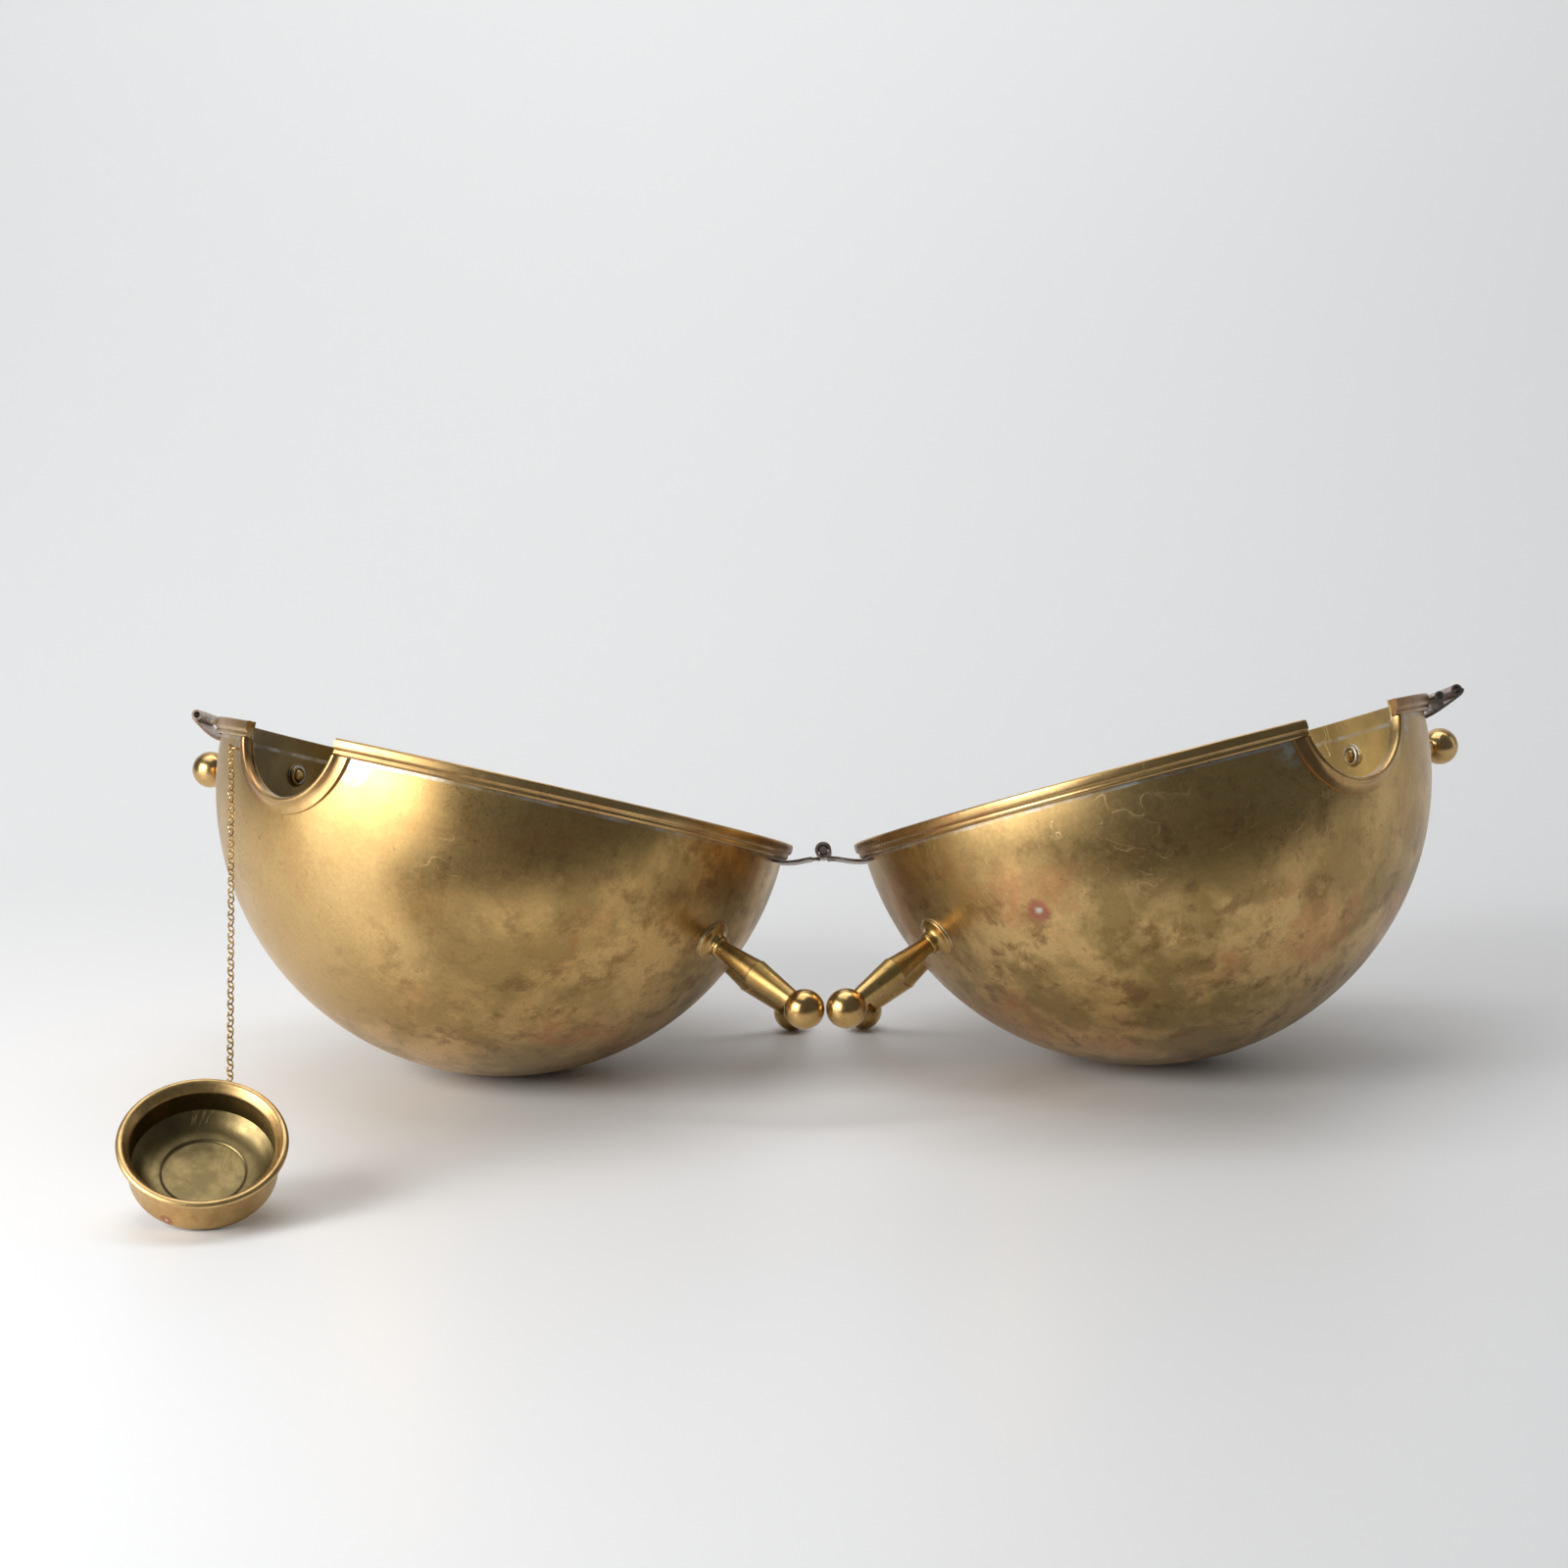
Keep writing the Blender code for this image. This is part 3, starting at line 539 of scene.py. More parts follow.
def strip_outline(path, thickness):
    upper = []
    lower = []
    for i, point in enumerate(path):
        before = Vector(path[max(i - 1, 0)])
        after = Vector(path[min(i + 1, len(path) - 1)])
        along = (after - before).normalized()
        normal = Vector((-along.y, along.x)) * thickness / 2
        upper.append(tuple(Vector(point) + normal))
        lower.append(tuple(Vector(point) - normal))
    return upper + lower[::-1]


def extruded(outline, half_width):
    shape = bmesh.new()
    face = shape.faces.new([shape.verts.new((x, -half_width, z)) for x, z in outline])
    grown = bmesh.ops.extrude_face_region(shape, geom=[face])
    moved = [item for item in grown["geom"] if isinstance(item, bmesh.types.BMVert)]
    bmesh.ops.translate(shape, verts=moved, vec=(0, 2 * half_width, 0))
    return shape


def wire_mesh(name, points, radius, sides=12):
    """A round wire along points with flat-capped ends."""
    shape = bmesh.new()
    points = [Vector(p) for p in points]
    rings = []
    side = None
    for i, point in enumerate(points):
        along = (points[min(i + 1, len(points) - 1)] - points[max(i - 1, 0)]).normalized()
        if side is None:
            side = along.orthogonal().normalized()
        side = (side - along * side.dot(along)).normalized()
        other = along.cross(side)
        ring = []
        for k in range(sides):
            a = 2 * math.pi * k / sides
            ring.append(shape.verts.new(point + radius * (math.cos(a) * side + math.sin(a) * other)))
        rings.append(ring)
    for first, second in zip(rings, rings[1:]):
        for k in range(sides):
            j = (k + 1) % sides
            shape.faces.new((first[k], first[j], second[j], second[k]))
    shape.faces.new(rings[0][::-1])
    shape.faces.new(rings[-1])
    return to_mesh(name, shape)


# ---------------------------------------------------------------- the two bowls
def bowl_profile():
    inner = BALL - WALL
    inside = arc(inner, -math.pi / 2, math.asin((RIM - 0.15 * MM) / inner), 60)
    outside = arc(BALL, math.asin((RIM - 0.15 * MM) / BALL), -math.pi / 2, 60)
    inside[0] = (0.0, -inner)
    outside[-1] = (0.0, -BALL)
    lip = [(inner + 0.15 * MM, RIM), (BALL - 0.15 * MM, RIM)]
    return inside + lip + outside


def band_profile():
    inner = BALL + 0.02 * MM
    outer = BALL + BAND_PROUD
    low = RIM - BAND_HEIGHT
    body = [
        (inner, low + 0.1 * MM), (inner, RIM - 0.05 * MM), (outer - 0.9 * MM, RIM),
        (outer - 0.2 * MM, RIM - 0.2 * MM), (outer - 0.02 * MM, RIM - 0.9 * MM),
        (outer - 0.03 * MM, RIM - 2.2 * MM), (outer - 0.14 * MM, RIM - 3.0 * MM),
        (outer - 0.95 * MM, RIM - 3.55 * MM), (outer - 1.0 * MM, RIM - 3.9 * MM),
        (outer - 0.85 * MM, RIM - 4.3 * MM), (outer - 1.05 * MM, RIM - 4.9 * MM), (outer - 1.5 * MM, low),
    ]
    return smooth(body, ring=True, rounds=2)


def neck_profile():
    inner = MOUTH
    outer = MOUTH + NECK_WIDTH
    # The mouth is centred above the ball's centre, so its lowest point sits highest on the ball.
    seat = math.sqrt(BALL**2 - (inner - HINGE_RISE)**2)
    foot = math.sqrt(BALL**2 - (outer - HINGE_RISE)**2)
    top = seat + NECK_PROUD
    flank = [
        (inner, top - 1.0 * MM), (inner + 0.3 * MM, top - 0.3 * MM), (inner + 0.95 * MM, top),
        (inner + 1.65 * MM, top - 0.25 * MM), (inner + 2.0 * MM, top - 0.95 * MM),
        (inner + 2.2 * MM, seat + 1.0 * MM), (inner + 0.6 * NECK_WIDTH, seat + 0.35 * MM),
        (inner + 0.78 * NECK_WIDTH, foot + 1.15 * MM), (inner + 0.9 * NECK_WIDTH, foot + 0.95 * MM),
        (outer, foot + 0.8 * MM),
    ]
    flank = smooth(flank, rounds=2)
    return [(outer, foot - 1.6 * MM), (inner, seat - 1.6 * MM), *flank]


def build_bowl(prefix, side, matrix):
    body = f"{prefix}_half"
    mouth = frame_at((0, 0, HINGE_RISE),
                     (math.cos(MOUTH_AZIMUTH), side * math.sin(MOUTH_AZIMUTH), 0), (0, 0, 1))
    steps = [("DIFFERENCE", cylinder(MOUTH, 0.6 * BALL, 1.2 * BALL, 160, mouth))]
    for _, azimuth, across, drop in LEGS:
        axis = (-math.cos(drop) * math.cos(azimuth),
                side * across * math.cos(drop) * math.sin(azimuth), -math.sin(drop))
        steps.append(("DIFFERENCE", cylinder(TANG + 0.3 * MM, BALL - 5 * MM, BALL + 5 * MM, 24,
                                             frame_at((0, 0, 0), axis, (0, 0, 1)))))
    level = matrix.inverted() @ Matrix.Translation(Vector((matrix.translation.x, 0, 0)))
    steps.append(("DIFFERENCE", block((-0.03, -0.03, -0.01), (0.03, 0.03, 0.0), level)))
    shape = carve(lathe("bowl", bowl_profile(), 240), steps)
    corner_z = RIM - BAND_HEIGHT - 0.001
    corners = []
    for turn in (-1, 1):
        azimuth = MOUTH_AZIMUTH + turn * (math.asin(MOUTH / BALL) + 0.055)
        corners.append(((BALL * math.cos(azimuth), side * BALL * math.sin(azimuth), corner_z), 0.008))
    # The inside tints are painted shade on the inner walls, darkest in the left half.
    if prefix == "left":
        look = aged_brass("left_bowl_brass", 2.0, copper=0.8, dark=0.75, tin_edges=corners,
                          tin_line=(corner_z + 0.0006, 0.0009), region=((-0.75, 0.0, -0.66), -0.005, 0.06),
                          inside=(within_ball, (0.20, 0.145, 0.06)))
    else:
        spots = [((-0.0471, -0.0732, -0.0327), 0.0042)]
        look = aged_brass("right_bowl_brass", 7.0, copper=0.65, dark=0.85, spots=spots, tin_edges=corners,
                          scratches=0.9, tin_line=(corner_z + 0.0006, 0.0009),
                          region=((-0.2, 0.0, -0.98), -0.02, 0.05),
                          inside=(within_ball, (0.46, 0.33, 0.13)))
    add_mesh(f"{prefix}_bowl_skin", to_mesh("bowl", shape, 30), matrix, look, body,
             [f"{prefix}_bowl"])
    shape = carve(lathe("band", band_profile(), 240, ring=True),
                  [("DIFFERENCE", cylinder(MOUTH, 0.6 * BALL, 1.2 * BALL, 160, mouth))])
    look = aged_brass(f"{prefix}_band_brass", 4.0 + side, blotch=26, base=(0.43, 0.245, 0.10), dark=0.5,
                      copper=0.45, rough=0.24, spun=0.0)
    add_mesh(f"{prefix}_rim_moulding", to_mesh("band", shape, 40), matrix, look, body,
             [f"{prefix}_rim_band"])
    ends = HINGE_RISE - RIM + BAND_HEIGHT + 0.05 * MM
    shape = carve(lathe("neck", neck_profile(), 160, ring=True),
                  [("DIFFERENCE", block((-ends, -0.05, 0.05), (0.05, 0.05, 0.12), mouth.inverted() @ mouth))])
    look = aged_brass(f"{prefix}_neck_brass", 9.0 + side, blotch=40, base=(0.43, 0.245, 0.10), dark=0.5,
                      copper=0.5, rough=0.25, spun=0.0)
    add_mesh(f"{prefix}_neck_moulding", to_mesh("neck", shape, 40), matrix @ mouth, look, body,
             [f"{prefix}_neck_ring"])


def ragged(seed, amount, scale=300.0):
    """A vertex mover that makes solder lumpy."""
    def move(point):
        push = noise.noise(point * scale + Vector((seed, 0, 0))) * amount
        return point + point.normalized() * push
    return move


def build_leg(prefix, side, matrix, leg):
    name, azimuth, across, drop = leg
    body = f"{prefix}_half"
    axis = (-math.cos(drop) * math.cos(azimuth),
            side * across * math.cos(drop) * math.sin(azimuth), -math.sin(drop))
    turn = matrix @ frame_at((0, 0, 0), axis, (0, 0, 1))
    seed = len(name) * 1.7 + side
    inner = BALL - WALL
    under = inner - 0.55 * MM
    seat = FOOT_REACH - math.sqrt(FOOT**2 - (3.1 * MM)**2)
    bore = STEM + 0.02 * MM
    look = aged_brass(f"{prefix}_{name}_turned_brass", seed, blotch=60, base=(0.50, 0.315, 0.095), dark=0.45,
                      copper=0.3, rough=0.22, scratches=0.4, spun=0.6, dents=0.0)
    flange = smooth([
        (bore, BALL + FLANGE_HEIGHT), (bore + 0.75 * MM, BALL + FLANGE_HEIGHT),
        (bore + 0.95 * MM, BALL + 0.8 * FLANGE_HEIGHT), (bore + 0.85 * MM, BALL + 0.6 * FLANGE_HEIGHT),
        (bore + 1.3 * MM, BALL + 0.42 * FLANGE_HEIGHT), (bore + 2.3 * MM, BALL + 0.27 * FLANGE_HEIGHT),
        (FLANGE - 0.3 * MM, BALL + 0.2 * FLANGE_HEIGHT), (FLANGE, BALL + 0.12 * FLANGE_HEIGHT),
        (FLANGE, BALL - 0.1 * MM),
    ])
    shape = lathe("flange", [(bore, BALL - 0.1 * MM), *flange], 64, ring=True)
    add_mesh(f"{prefix}_{name}_base_flange", to_mesh("flange", shape), turn, look, body,
             [f"{prefix}_{name}_flange"])
    knop = BALL + KNOP_HEIGHT
    stem = [
        (0.0, seat + 3.0 * MM), (1.5 * MM, seat + 3.0 * MM), (1.5 * MM, seat), (3.1 * MM, seat - 0.02 * MM),
        (3.14 * MM, seat - 0.6 * MM), (KNOP - 0.05 * MM, knop + 0.75 * MM), (KNOP, knop + 0.5 * MM),
        (KNOP - 0.22 * MM, knop + 0.2 * MM), (KNOP - 0.3 * MM, knop - 0.3 * MM),
        (KNOP - 0.35 * MM, knop - 0.6 * MM), (STEM + 0.1 * MM, BALL + FLANGE_HEIGHT + 1.4 * MM),
        (STEM, BALL + FLANGE_HEIGHT + 0.6 * MM), (STEM, BALL + 0.3 * MM), (TANG, BALL + 0.3 * MM),
        (TANG, under - 0.9 * MM), (0.8 * TANG, under - 1.3 * MM), (0.4 * TANG, under - 1.5 * MM),
        (0.0, under - 1.5 * MM),
    ]
    add_mesh(f"{prefix}_{name}_turned_leg", to_mesh("stem", lathe("stem", stem, 56), 18), turn, look, body,
             [f"{prefix}_{name}_leg"])
    ball = arc(FOOT, math.pi / 2, -math.acos(3.1 * MM / FOOT), 36, (0.0, FOOT_REACH))
    ball[0] = (0.0, FOOT_REACH + FOOT)
    ball += [(1.8 * MM, seat), (1.8 * MM, seat + 3.2 * MM), (0.0, seat + 3.2 * MM)]
    look = aged_brass(f"{prefix}_{name}_ball_brass", seed + 5, blotch=70, base=(0.50, 0.31, 0.095), dark=0.4,
                      copper=0.4, rough=0.15, scratches=0.5, spun=0.3, dents=0.0)
    add_mesh(f"{prefix}_{name}_ball_end", to_mesh("ball", lathe("ball", ball, 64)), turn, look, body,
             [f"{prefix}_{name}_ball"])
    washer = smooth([
        (3.6 * MM, under), (3.6 * MM, under - 0.4 * MM), (3.2 * MM, under - 0.9 * MM),
        (2.35 * MM, under - 0.9 * MM), (2.3 * MM, under),
    ], ring=True, rounds=1)
    shape = lathe("rivet", washer, 48, ring=True, wobble=ragged(seed, 0.0001))
    add_mesh(f"{prefix}_{name}_washer", to_mesh("rivet", shape), turn, tin(f"{prefix}_{name}_tin", seed),
             body, [f"{prefix}_{name}_rivet"])
    # A thin ragged fillet of solder round the flange, and one inside round the washer.
    for tag, radius, height, size in (("outer", FLANGE, BALL + 0.05 * MM, 0.35), ("inner", 3.7 * MM, inner - 0.1 * MM, 0.3)):
        drop_z = BALL - math.sqrt(BALL**2 - radius**2)
        ring = arc(size * MM, 0, 2 * math.pi, 9, (radius, height - drop_z))[:-1]
        shape = lathe("fillet", ring[::-1], 72, ring=True, wobble=ragged(seed + 3, 0.00012, 500))
        add_mesh(f"{prefix}_{name}_{tag}_solder", to_mesh("fillet", shape, 60), turn,
                 tin(f"{prefix}_{name}_{tag}_solder_tin", seed + 2), body, [])


for half_name, (half_side, half_place) in HALVES.items():
    build_bowl(half_name, half_side, half_place)
    for one_leg in LEGS:
        build_leg(half_name, half_side, half_place, one_leg)


# ---------------------------------------------------------------- hinge and clasp
def seat_ball():
    profile = arc(BALL + 0.02 * MM, math.pi / 2, -math.pi / 2, 91)
    profile[0] = (0.0, BALL + 0.02 * MM)
    profile[-1] = (0.0, -BALL - 0.02 * MM)
    return lathe("seat", profile, 180)


def curve_path(points, rounds=3):
    return smooth(points, rounds=rounds)


def build_hinge_leaf(prefix, side, matrix):
    reach = HINGE_REACH
    under = RIM - BAND_HEIGHT
    path = curve_path([
        (-(BALL - 4 * MM), under - 1.5 * MM), (-(BALL + BAND_PROUD), under - 0.9 * MM),
        (-(reach - KNUCKLE), HINGE_RISE - KNUCKLE - 0.45 * MM),
        (-(reach - 0.5 * MM), HINGE_RISE - KNUCKLE - 0.15 * MM),
    ], 2)
    along = frame_at((-reach, 0, HINGE_RISE), (0, 1, 0), (1, 0, 0))
    edge = KNUCKLE_SPLIT
    tip = HINGE_LENGTH / 2
    gap = 0.12 * MM
    own = [(-edge + gap, edge - gap)]
    other = [(-tip - 0.002, -edge + 0.1 * MM), (edge - 0.1 * MM, tip + 0.002)]
    if side < 0:
        own = [(-tip, -edge - gap), (edge + gap, tip)]
        other = [(-edge - 0.1 * MM, edge + 0.1 * MM)]
    steps = [("DIFFERENCE", seat_ball())]
    for low, high in other:
        steps.append(("DIFFERENCE", block((-reach - 0.006, low, -0.008),
                                          (-reach + KNUCKLE + 0.5 * MM, high, 0.008))))
    for low, high in own:
        steps.append(("UNION", cylinder(KNUCKLE, low, high, 48, along)))
    steps.append(("DIFFERENCE", cylinder(KNUCKLE_BORE, -tip - 0.004, tip + 0.004, 40, along)))
    shape = carve(extruded(strip_outline(path, LEAF), tip - 0.4 * MM), steps)
    add_mesh(f"{prefix}_hinge_plate", to_mesh("leaf", shape, 32), matrix, leaf_metal(f"{prefix}_hinge_metal", 3 + side),
             f"{prefix}_half", [f"{prefix}_hinge_leaf"])


def clasp_path(tube, dip, wrap):
    """A strip's path from under the band, rising below a tube and, with wrap, round its far side."""
    out, drop, outer, _ = tube
    x = BALL + out
    z = HINGE_RISE - drop
    under = RIM - BAND_HEIGHT - LEAF / 2
    path = [(BALL - 2 * MM, under - 1.6 * MM - dip), (BALL + BAND_PROUD, under - 0.6 * MM - dip),
            (x, z - outer - 0.3 * LEAF)]
    if wrap:
        return [*path, (x + 0.95 * outer, z - 0.62 * outer), (x + 1.12 * outer, z)]
    return [*path, (x + 0.7 * outer, z - 0.75 * outer)]


def build_clasp(prefix, matrix, path, tubes):
    tip = CLASP_LENGTH / 2
    steps = [("DIFFERENCE", seat_ball())]
    if len(tubes) > 1:
        # The inner tube clears the strip, so it stands on a saddle of solder.
        x = BALL + tubes[0][0]
        z = HINGE_RISE - tubes[0][1]
        low = (BALL + BAND_PROUD, RIM - BAND_HEIGHT - 1.225 * MM)
        share = (x - low[0]) / (path[2][0] - low[0])
        strip = low[1] + share * (path[2][1] - low[1])
        steps.append(("UNION", block((x - 0.8 * MM, -tip + 0.7 * MM, strip),
                                     (x + 0.8 * MM, tip - 0.7 * MM, z - (tubes[0][2] + tubes[0][3]) / 2))))
    for out, drop, outer, bore in tubes:
        along = frame_at((BALL + out, 0, HINGE_RISE - drop), (0, 1, 0), (1, 0, 0))
        steps.append(("UNION", cylinder(outer, -tip, tip, 44, along)))
        steps.append(("DIFFERENCE", cylinder(bore, -tip - 0.003, tip + 0.003, 36, along)))
    shape = carve(extruded(strip_outline(curve_path(path, 2), LEAF), tip - 0.3 * MM), steps)
    add_mesh(f"{prefix}_clasp_plate", to_mesh("clasp", shape, 32), matrix,
             leaf_metal(f"{prefix}_clasp_metal", 8 if prefix == "left" else 11), f"{prefix}_half",
             [f"{prefix}_clasp_leaf"])


for half_name, (half_side, half_place) in HALVES.items():
    build_hinge_leaf(half_name, half_side, half_place)
build_clasp("left", HALVES["left"][1], clasp_path(CATCH_TUBE, 0.0, False), [CATCH_TUBE])
build_clasp("right", HALVES["right"][1], clasp_path(OUTER_TUBE, 0.2 * MM, True), [INNER_TUBE, OUTER_TUBE])
pin_half = HINGE_LENGTH / 2 - 0.6 * MM
pin = [(0, pin_half), (1.15 * MM, pin_half), (1.4 * MM, pin_half - 0.25 * MM),
       (1.4 * MM, -pin_half + 0.25 * MM), (1.15 * MM, -pin_half), (0, -pin_half)]
add_mesh("hinge_wire_pin", to_mesh("pin", lathe("pin", pin, 40)), hinge_matrix,
         leaf_metal("pin_metal", 21), "left_half", ["hinge_pin"])


# ---------------------------------------------------------------- cup and chain
left_side, left_place = HALVES["left"]
ring_half = math.sqrt((MOUTH + NECK_WIDTH)**2 - (EYE_DROP + HINGE_RISE)**2)
eye_azimuth = MOUTH_AZIMUTH - math.asin(ring_half / BALL) - EYE_STANDOFF / BALL
eye_level = math.sqrt(BALL**2 - EYE_DROP**2)
eye_out = Vector((math.cos(eye_azimuth) * eye_level, math.sin(eye_azimuth) * eye_level, -EYE_DROP))
staple_turn = frame_at(eye_out, eye_out, (-math.sin(eye_azimuth), math.cos(eye_azimuth), 0))
eye = left_place @ staple_turn @ Vector((0, 0, STAPLE_REACH))
cup_axis = Vector((math.sin(CUP_TURN), -math.sin(CUP_TILT) * math.cos(CUP_TURN),
                   math.cos(CUP_TILT) * math.cos(CUP_TURN)))
edge_drop = (CUP - CUP_CORNER) * math.sqrt(1 - cup_axis.z**2) + CUP_CORNER * (1 - cup_axis.z)
cup_origin = Vector((left_place.translation.x + CUP_OFFSET[0],
                     left_place.translation.y + CUP_OFFSET[1], edge_drop + 0.1 * MM))
cup_place = frame_at(cup_origin, cup_axis, (math.sin(CUP_EYE_TURN), math.cos(CUP_EYE_TURN), 0))
staple_height = 0.62 * CUP_DEPTH
cup_eye = cup_place @ Vector((CUP + STAPLE_REACH, 0, staple_height))

inside = CUP - 0.8 * MM
cup_profile = [
    (0.0, 1.7 * MM), (0.30 * inside, 1.72 * MM), (0.54 * inside, 1.7 * MM), (0.585 * inside, 1.9 * MM),
    (0.60 * inside, 2.2 * MM), (0.72 * inside, 2.6 * MM), (0.86 * inside, 3.9 * MM),
    (0.95 * inside, 5.6 * MM), (0.985 * inside, 6.05 * MM), (inside, 6.3 * MM),
    (inside, CUP_DEPTH - 3.4 * MM), (inside + 0.15 * MM, CUP_DEPTH - 2.4 * MM),
    (CUP_RIM - 2.7 * MM, CUP_DEPTH - 1.1 * MM), (CUP_RIM - 2.1 * MM, CUP_DEPTH - 0.3 * MM),
    (CUP_RIM - 1.35 * MM, CUP_DEPTH), (CUP_RIM - 0.6 * MM, CUP_DEPTH - 0.2 * MM),
    (CUP_RIM - 0.05 * MM, CUP_DEPTH - 0.8 * MM), (CUP_RIM - 0.15 * MM, CUP_DEPTH - 1.6 * MM),
    (CUP_RIM - 0.9 * MM, CUP_DEPTH - 2.1 * MM), (CUP_RIM - 1.9 * MM, CUP_DEPTH - 2.3 * MM),
    (CUP + 0.45 * MM, CUP_DEPTH - 2.8 * MM), (CUP, CUP_DEPTH - 3.9 * MM), (CUP, CUP_DEPTH - 7 * MM),
    *arc(CUP_CORNER, 0, -math.pi / 2, 12, (CUP - CUP_CORNER, CUP_CORNER)), (0.6 * CUP, 0.0), (0.0, 0.0),
]
# The cup's inside tint is painted shade in its hollow.
cup_look = aged_brass("cup_brass", 14.0, blotch=60, base=(0.36, 0.225, 0.085), dark=0.7, copper=0.35,
                      rough=0.27, scratches=0.8, dents=0.2,
                       inside=(within_cup, (0.15, 0.11, 0.045)),
                      spots=[((-0.0205, 0.0035, 0.0035), 0.0022)])
cup = add_mesh("stopper_cup_brass", to_mesh("cup", lathe("cup", smooth(cup_profile, rounds=1), 160)),
               cup_place, cup_look, "cup", ["stopper_cup"])


def staple_mesh(name):
    half = STAPLE_WIDTH
    straight = STAPLE_REACH - half
    bend = [(x, 0.0, z) for x, z in arc(half, 0, math.pi, 25, (0.0, straight))]
    return wire_mesh(name, [(half, 0.0, 0.0), *bend, (-half, 0.0, 0.0)], STAPLE_WIRE)


chain_look = aged_brass("chain_brass", 17.0, blotch=200, base=(0.42, 0.30, 0.13), dark=0.6, copper=0.15,
                        rough=0.25, scratches=0.0, spun=0.0, dents=0.0)
add_mesh("bowl_staple", staple_mesh("staple"), left_place @ staple_turn, chain_look, "left_half",
         ["chain_staple"])
cup_staple = add_mesh("cup_staple_wire", staple_mesh("staple"),
                      cup_place @ frame_at((CUP, 0, staple_height), (1, 0, 0), (0, 1, 0)), chain_look,
                      "cup", ["cup_staple"])

LINK_WIDTH = 2.7 * MM
LINK_WIRE = 0.27 * MM
span = cup_eye - eye
route = []
for i in range(121):
    t = i / 120
    route.append(eye + span * t - Vector((0, 0, 4 * CHAIN_SAG * t * (1 - t))))
chain_length = sum((b - a).length for a, b in zip(route, route[1:]))
link_count = 2 * round(chain_length / (2.1 * MM) / 2) + 1
chain_shape = bmesh.new()
for k in range(link_count):
    t = k / (link_count - 1)
    index = min(int(t * 120), 119)
    centre = route[index].lerp(route[index + 1], t * 120 - index)
    along = (route[index + 1] - route[index]).normalized()
    across = along.cross(Vector((1, 0, 0))).normalized()
    third = along.cross(across)
    turn = math.radians(90 * (k % 2) + 38 + 14 * noise.noise(Vector((k * 0.31, 2, 5))))
    wide = math.cos(turn) * across + math.sin(turn) * third
    flat = along.cross(wide)
    long_half = LINK_WIDTH / 2 - LINK_WIRE
    ring_count = 18
    previous = None
    rings = []
    for i in range(ring_count):
        a = 2 * math.pi * i / ring_count
        out = math.cos(a) * along + math.sin(a) * wide
        ring = []
        for j in range(7):
            b = 2 * math.pi * j / 7
            ring.append(chain_shape.verts.new(
                centre + out * (long_half + LINK_WIRE * math.cos(b)) + flat * LINK_WIRE * math.sin(b)))
        rings.append(ring)
    for i in range(ring_count):
        for j in range(7):
            chain_shape.faces.new((rings[i][j], rings[(i + 1) % ring_count][j],
                                   rings[(i + 1) % ring_count][(j + 1) % 7], rings[i][(j + 1) % 7]))
chain = add_mesh("stopper_chain_links", to_mesh("chain", chain_shape), Matrix(), chain_look, "chain",
                 ["stopper_chain"])


# ---------------------------------------------------------------- stage
def stage_material(name, colour, rough, specular=0.5):
    n = Nodes(name)
    return n.finish(colour, rough, 0.0, None)


sweep_profile = [(-0.62, 0.0), (0.30, 0.0)]
sweep_profile += [(0.30 + 0.9 * math.sin(a), 0.9 - 0.9 * math.cos(a)) for a in
                  (math.radians(d) for d in range(3, 91, 3))]
sweep_profile.append((1.2, 2.6))
sweep = bmesh.new()
rows = []
for y, z in sweep_profile:
    rows.append([sweep.verts.new((x, y, z - 0.00005)) for x in (-3.0, 3.0)])
for first, second in zip(rows, rows[1:]):
    sweep.faces.new((first[0], first[1], second[1], second[0]))
sweep_mesh = bpy.data.meshes.new("sweep")
sweep.to_mesh(sweep_mesh)
sweep.free()
sweep_mesh.shade_smooth()
floor = bpy.data.objects.new("sweep", sweep_mesh)
bpy.context.scene.collection.objects.link(floor)
floor.data.materials.append(stage_material("sweep_paper", (0.80, 0.80, 0.80), 0.42))


def area(name, location, target, width, height, power, colour=(1, 1, 1)):
    light = bpy.data.lights.new(name, "AREA")
    light.shape = "RECTANGLE"
    light.size = width
    light.size_y = height
    light.energy = power
    light.color = colour
    obj = bpy.data.objects.new(name, light)
    obj.location = location
    obj.rotation_euler = (Vector(target) - Vector(location)).to_track_quat("-Z", "Y").to_euler()
    bpy.context.scene.collection.objects.link(obj)
    return obj


area("key_window", (-0.80, -0.60, 0.36), (0.0, 0.06, 0.10), 0.92, 0.72, 7.5)
area("key_core", (-0.74, -0.55, 0.42), (0.0, 0.06, 0.10), 0.34, 0.42, 4.0)
area("top", (-0.15, 0.15, 1.7), (0, 0.05, 0), 1.6, 1.2, 10.5)
area("back_wash", (0.0, 0.35, 1.6), (0, 1.2, 0.6), 2.4, 0.6, 8.0)
area("right_fill", (1.0, 0.15, 0.35), (0.1, 0, 0.08), 0.35, 0.7, 0.5)
world = bpy.data.worlds.new("studio")
bpy.context.scene.world = world
world.use_nodes = True
world.node_tree.nodes["Background"].inputs["Color"].default_value = (0.86, 0.93, 1.0, 1)
world.node_tree.nodes["Background"].inputs["Strength"].default_value = 0.12
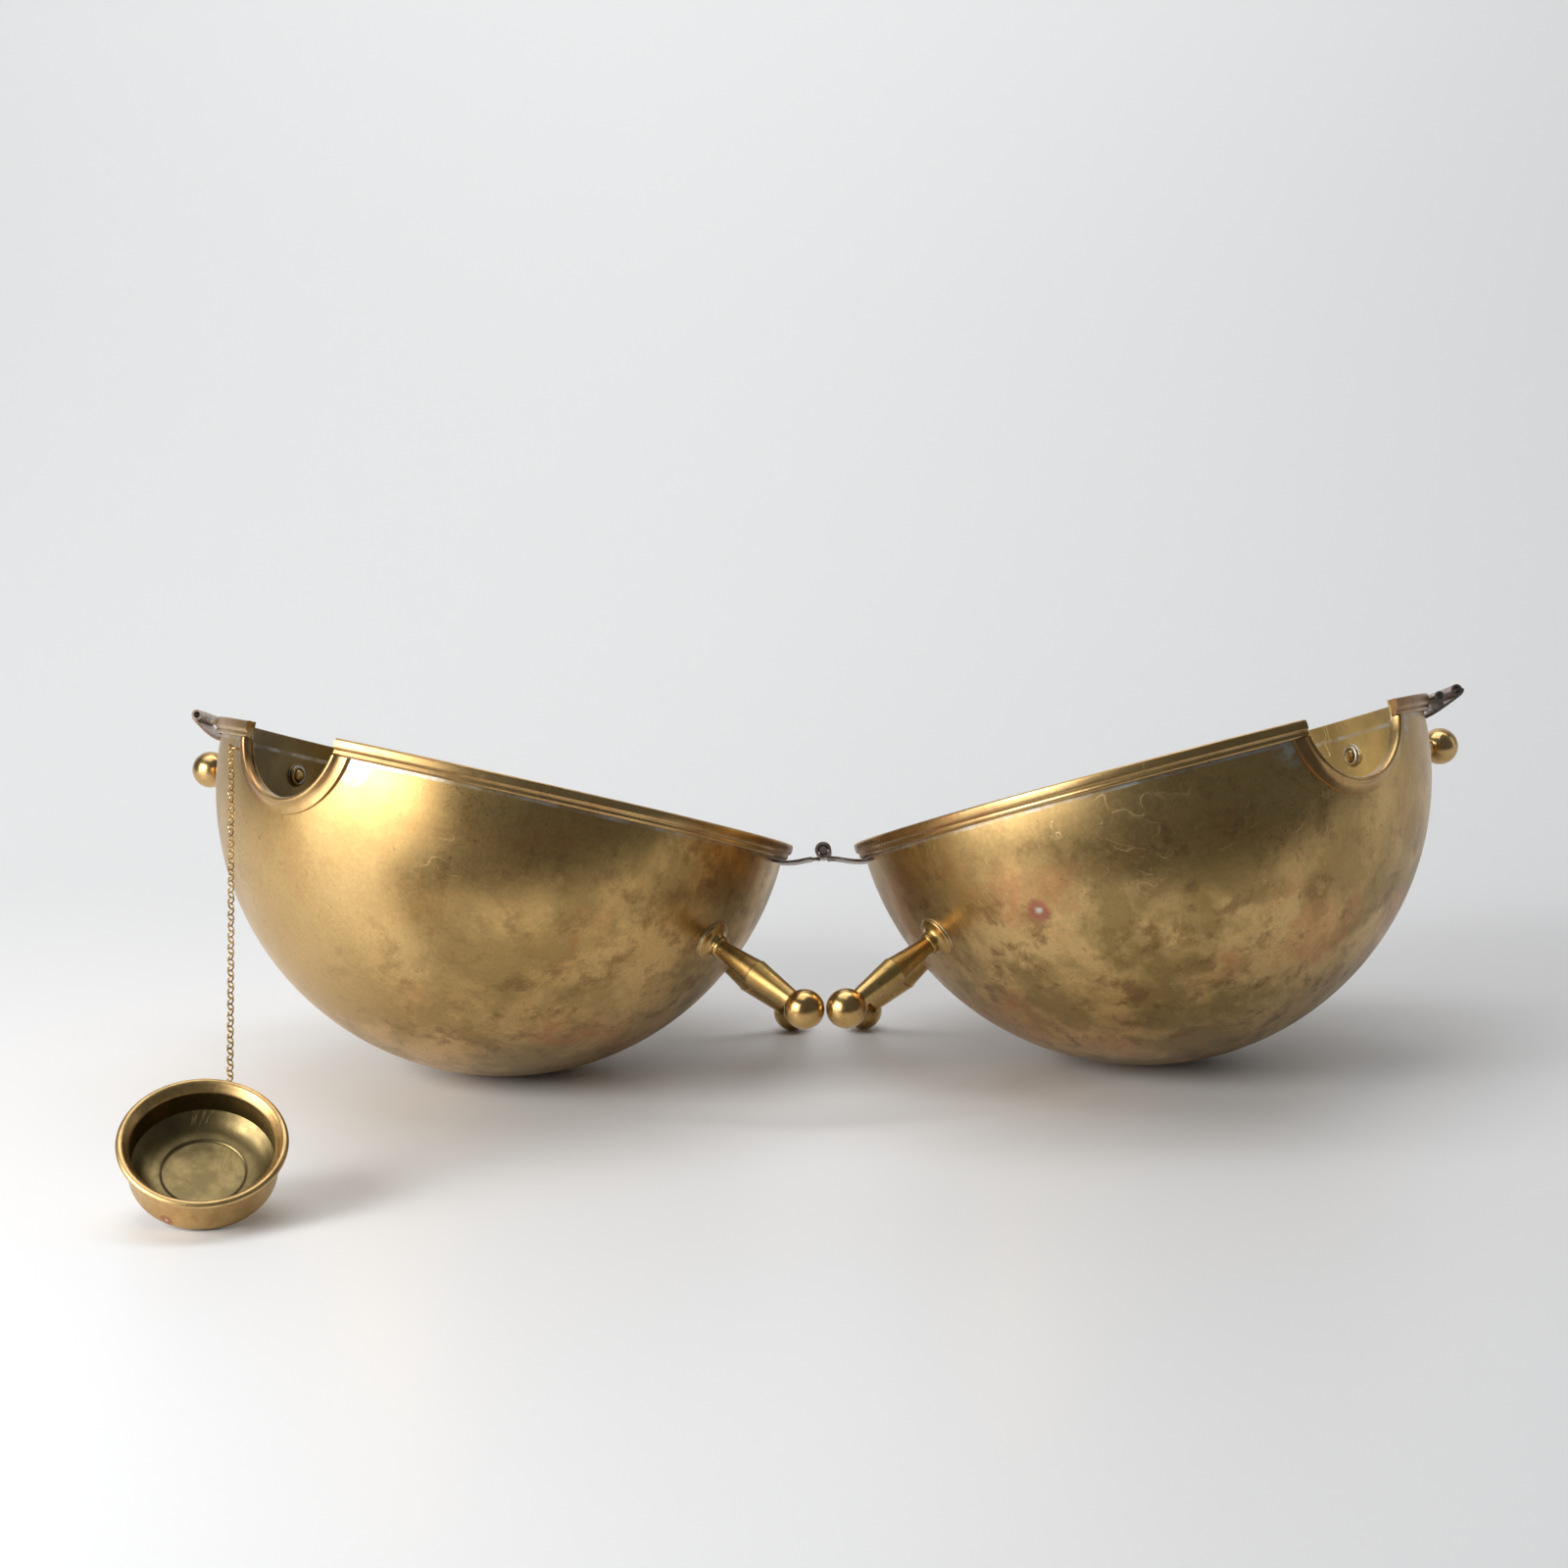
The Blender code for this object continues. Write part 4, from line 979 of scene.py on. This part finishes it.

# A dark card lies over the near floor as a painted dark reflection. Only reflections see it, as they would the unlit
# room.
card_mesh = bpy.data.meshes.new("dark_reflection_card")
card_mesh.from_pydata([(-0.34, -0.62, 0.0012), (1.6, -0.62, 0.0012), (1.6, -0.215, 0.0012), (-0.30, -0.215, 0.0012)],
                      [], [(0, 1, 2, 3)])
card = bpy.data.objects.new("dark_reflection_card", card_mesh)
bpy.context.scene.collection.objects.link(card)
dark_reflection = Nodes("painted_dark_reflection")
dark_reflection.shader.inputs["Base Color"].default_value = (0.05, 0.045, 0.04, 1)
dark_reflection.shader.inputs["Roughness"].default_value = 0.9
clear = dark_reflection.tree.nodes.new("ShaderNodeBsdfTransparent")
facing = dark_reflection.tree.nodes.new("ShaderNodeNewGeometry").outputs["Backfacing"]
both = dark_reflection.tree.nodes.new("ShaderNodeMixShader")
dark_reflection.link(facing, both.inputs["Fac"])
dark_reflection.link(dark_reflection.shader.outputs["BSDF"], both.inputs[1])
dark_reflection.link(clear.outputs["BSDF"], both.inputs[2])
dark_reflection.link(both.outputs["Shader"], dark_reflection.tree.nodes["Material Output"].inputs["Surface"])
card.data.materials.append(dark_reflection.material)
card.visible_camera = False
card.visible_diffuse = False
card.visible_shadow = False


# ---------------------------------------------------------------- camera
def camera_matrix():
    pitch = math.radians(10.0)
    roll = math.radians(-1.26)
    forward = Vector((0, math.cos(pitch), -math.sin(pitch)))
    right = Vector((1, 0, 0))
    up = right.cross(forward)
    turned_right = math.cos(roll) * right + math.sin(roll) * up
    turned_up = -math.sin(roll) * right + math.cos(roll) * up
    matrix = Matrix((turned_right, turned_up, -forward)).transposed().to_4x4()
    yaw = Matrix.Rotation(math.radians(1.02), 4, "Z")
    return Matrix.Translation(Vector((0.00737, -1.11459, 0.28933))) @ yaw @ matrix


camera_data = bpy.data.cameras.new("camera")
camera_data.sensor_width = 36.0
camera_data.lens = 3550.0 / 1600.0 * 36.0
camera_data.clip_start = 0.05
camera = bpy.data.objects.new("camera", camera_data)
camera.matrix_world = camera_matrix()
bpy.context.scene.collection.objects.link(camera)
bpy.context.scene.camera = camera
bpy.context.scene.view_settings.view_transform = "Standard"
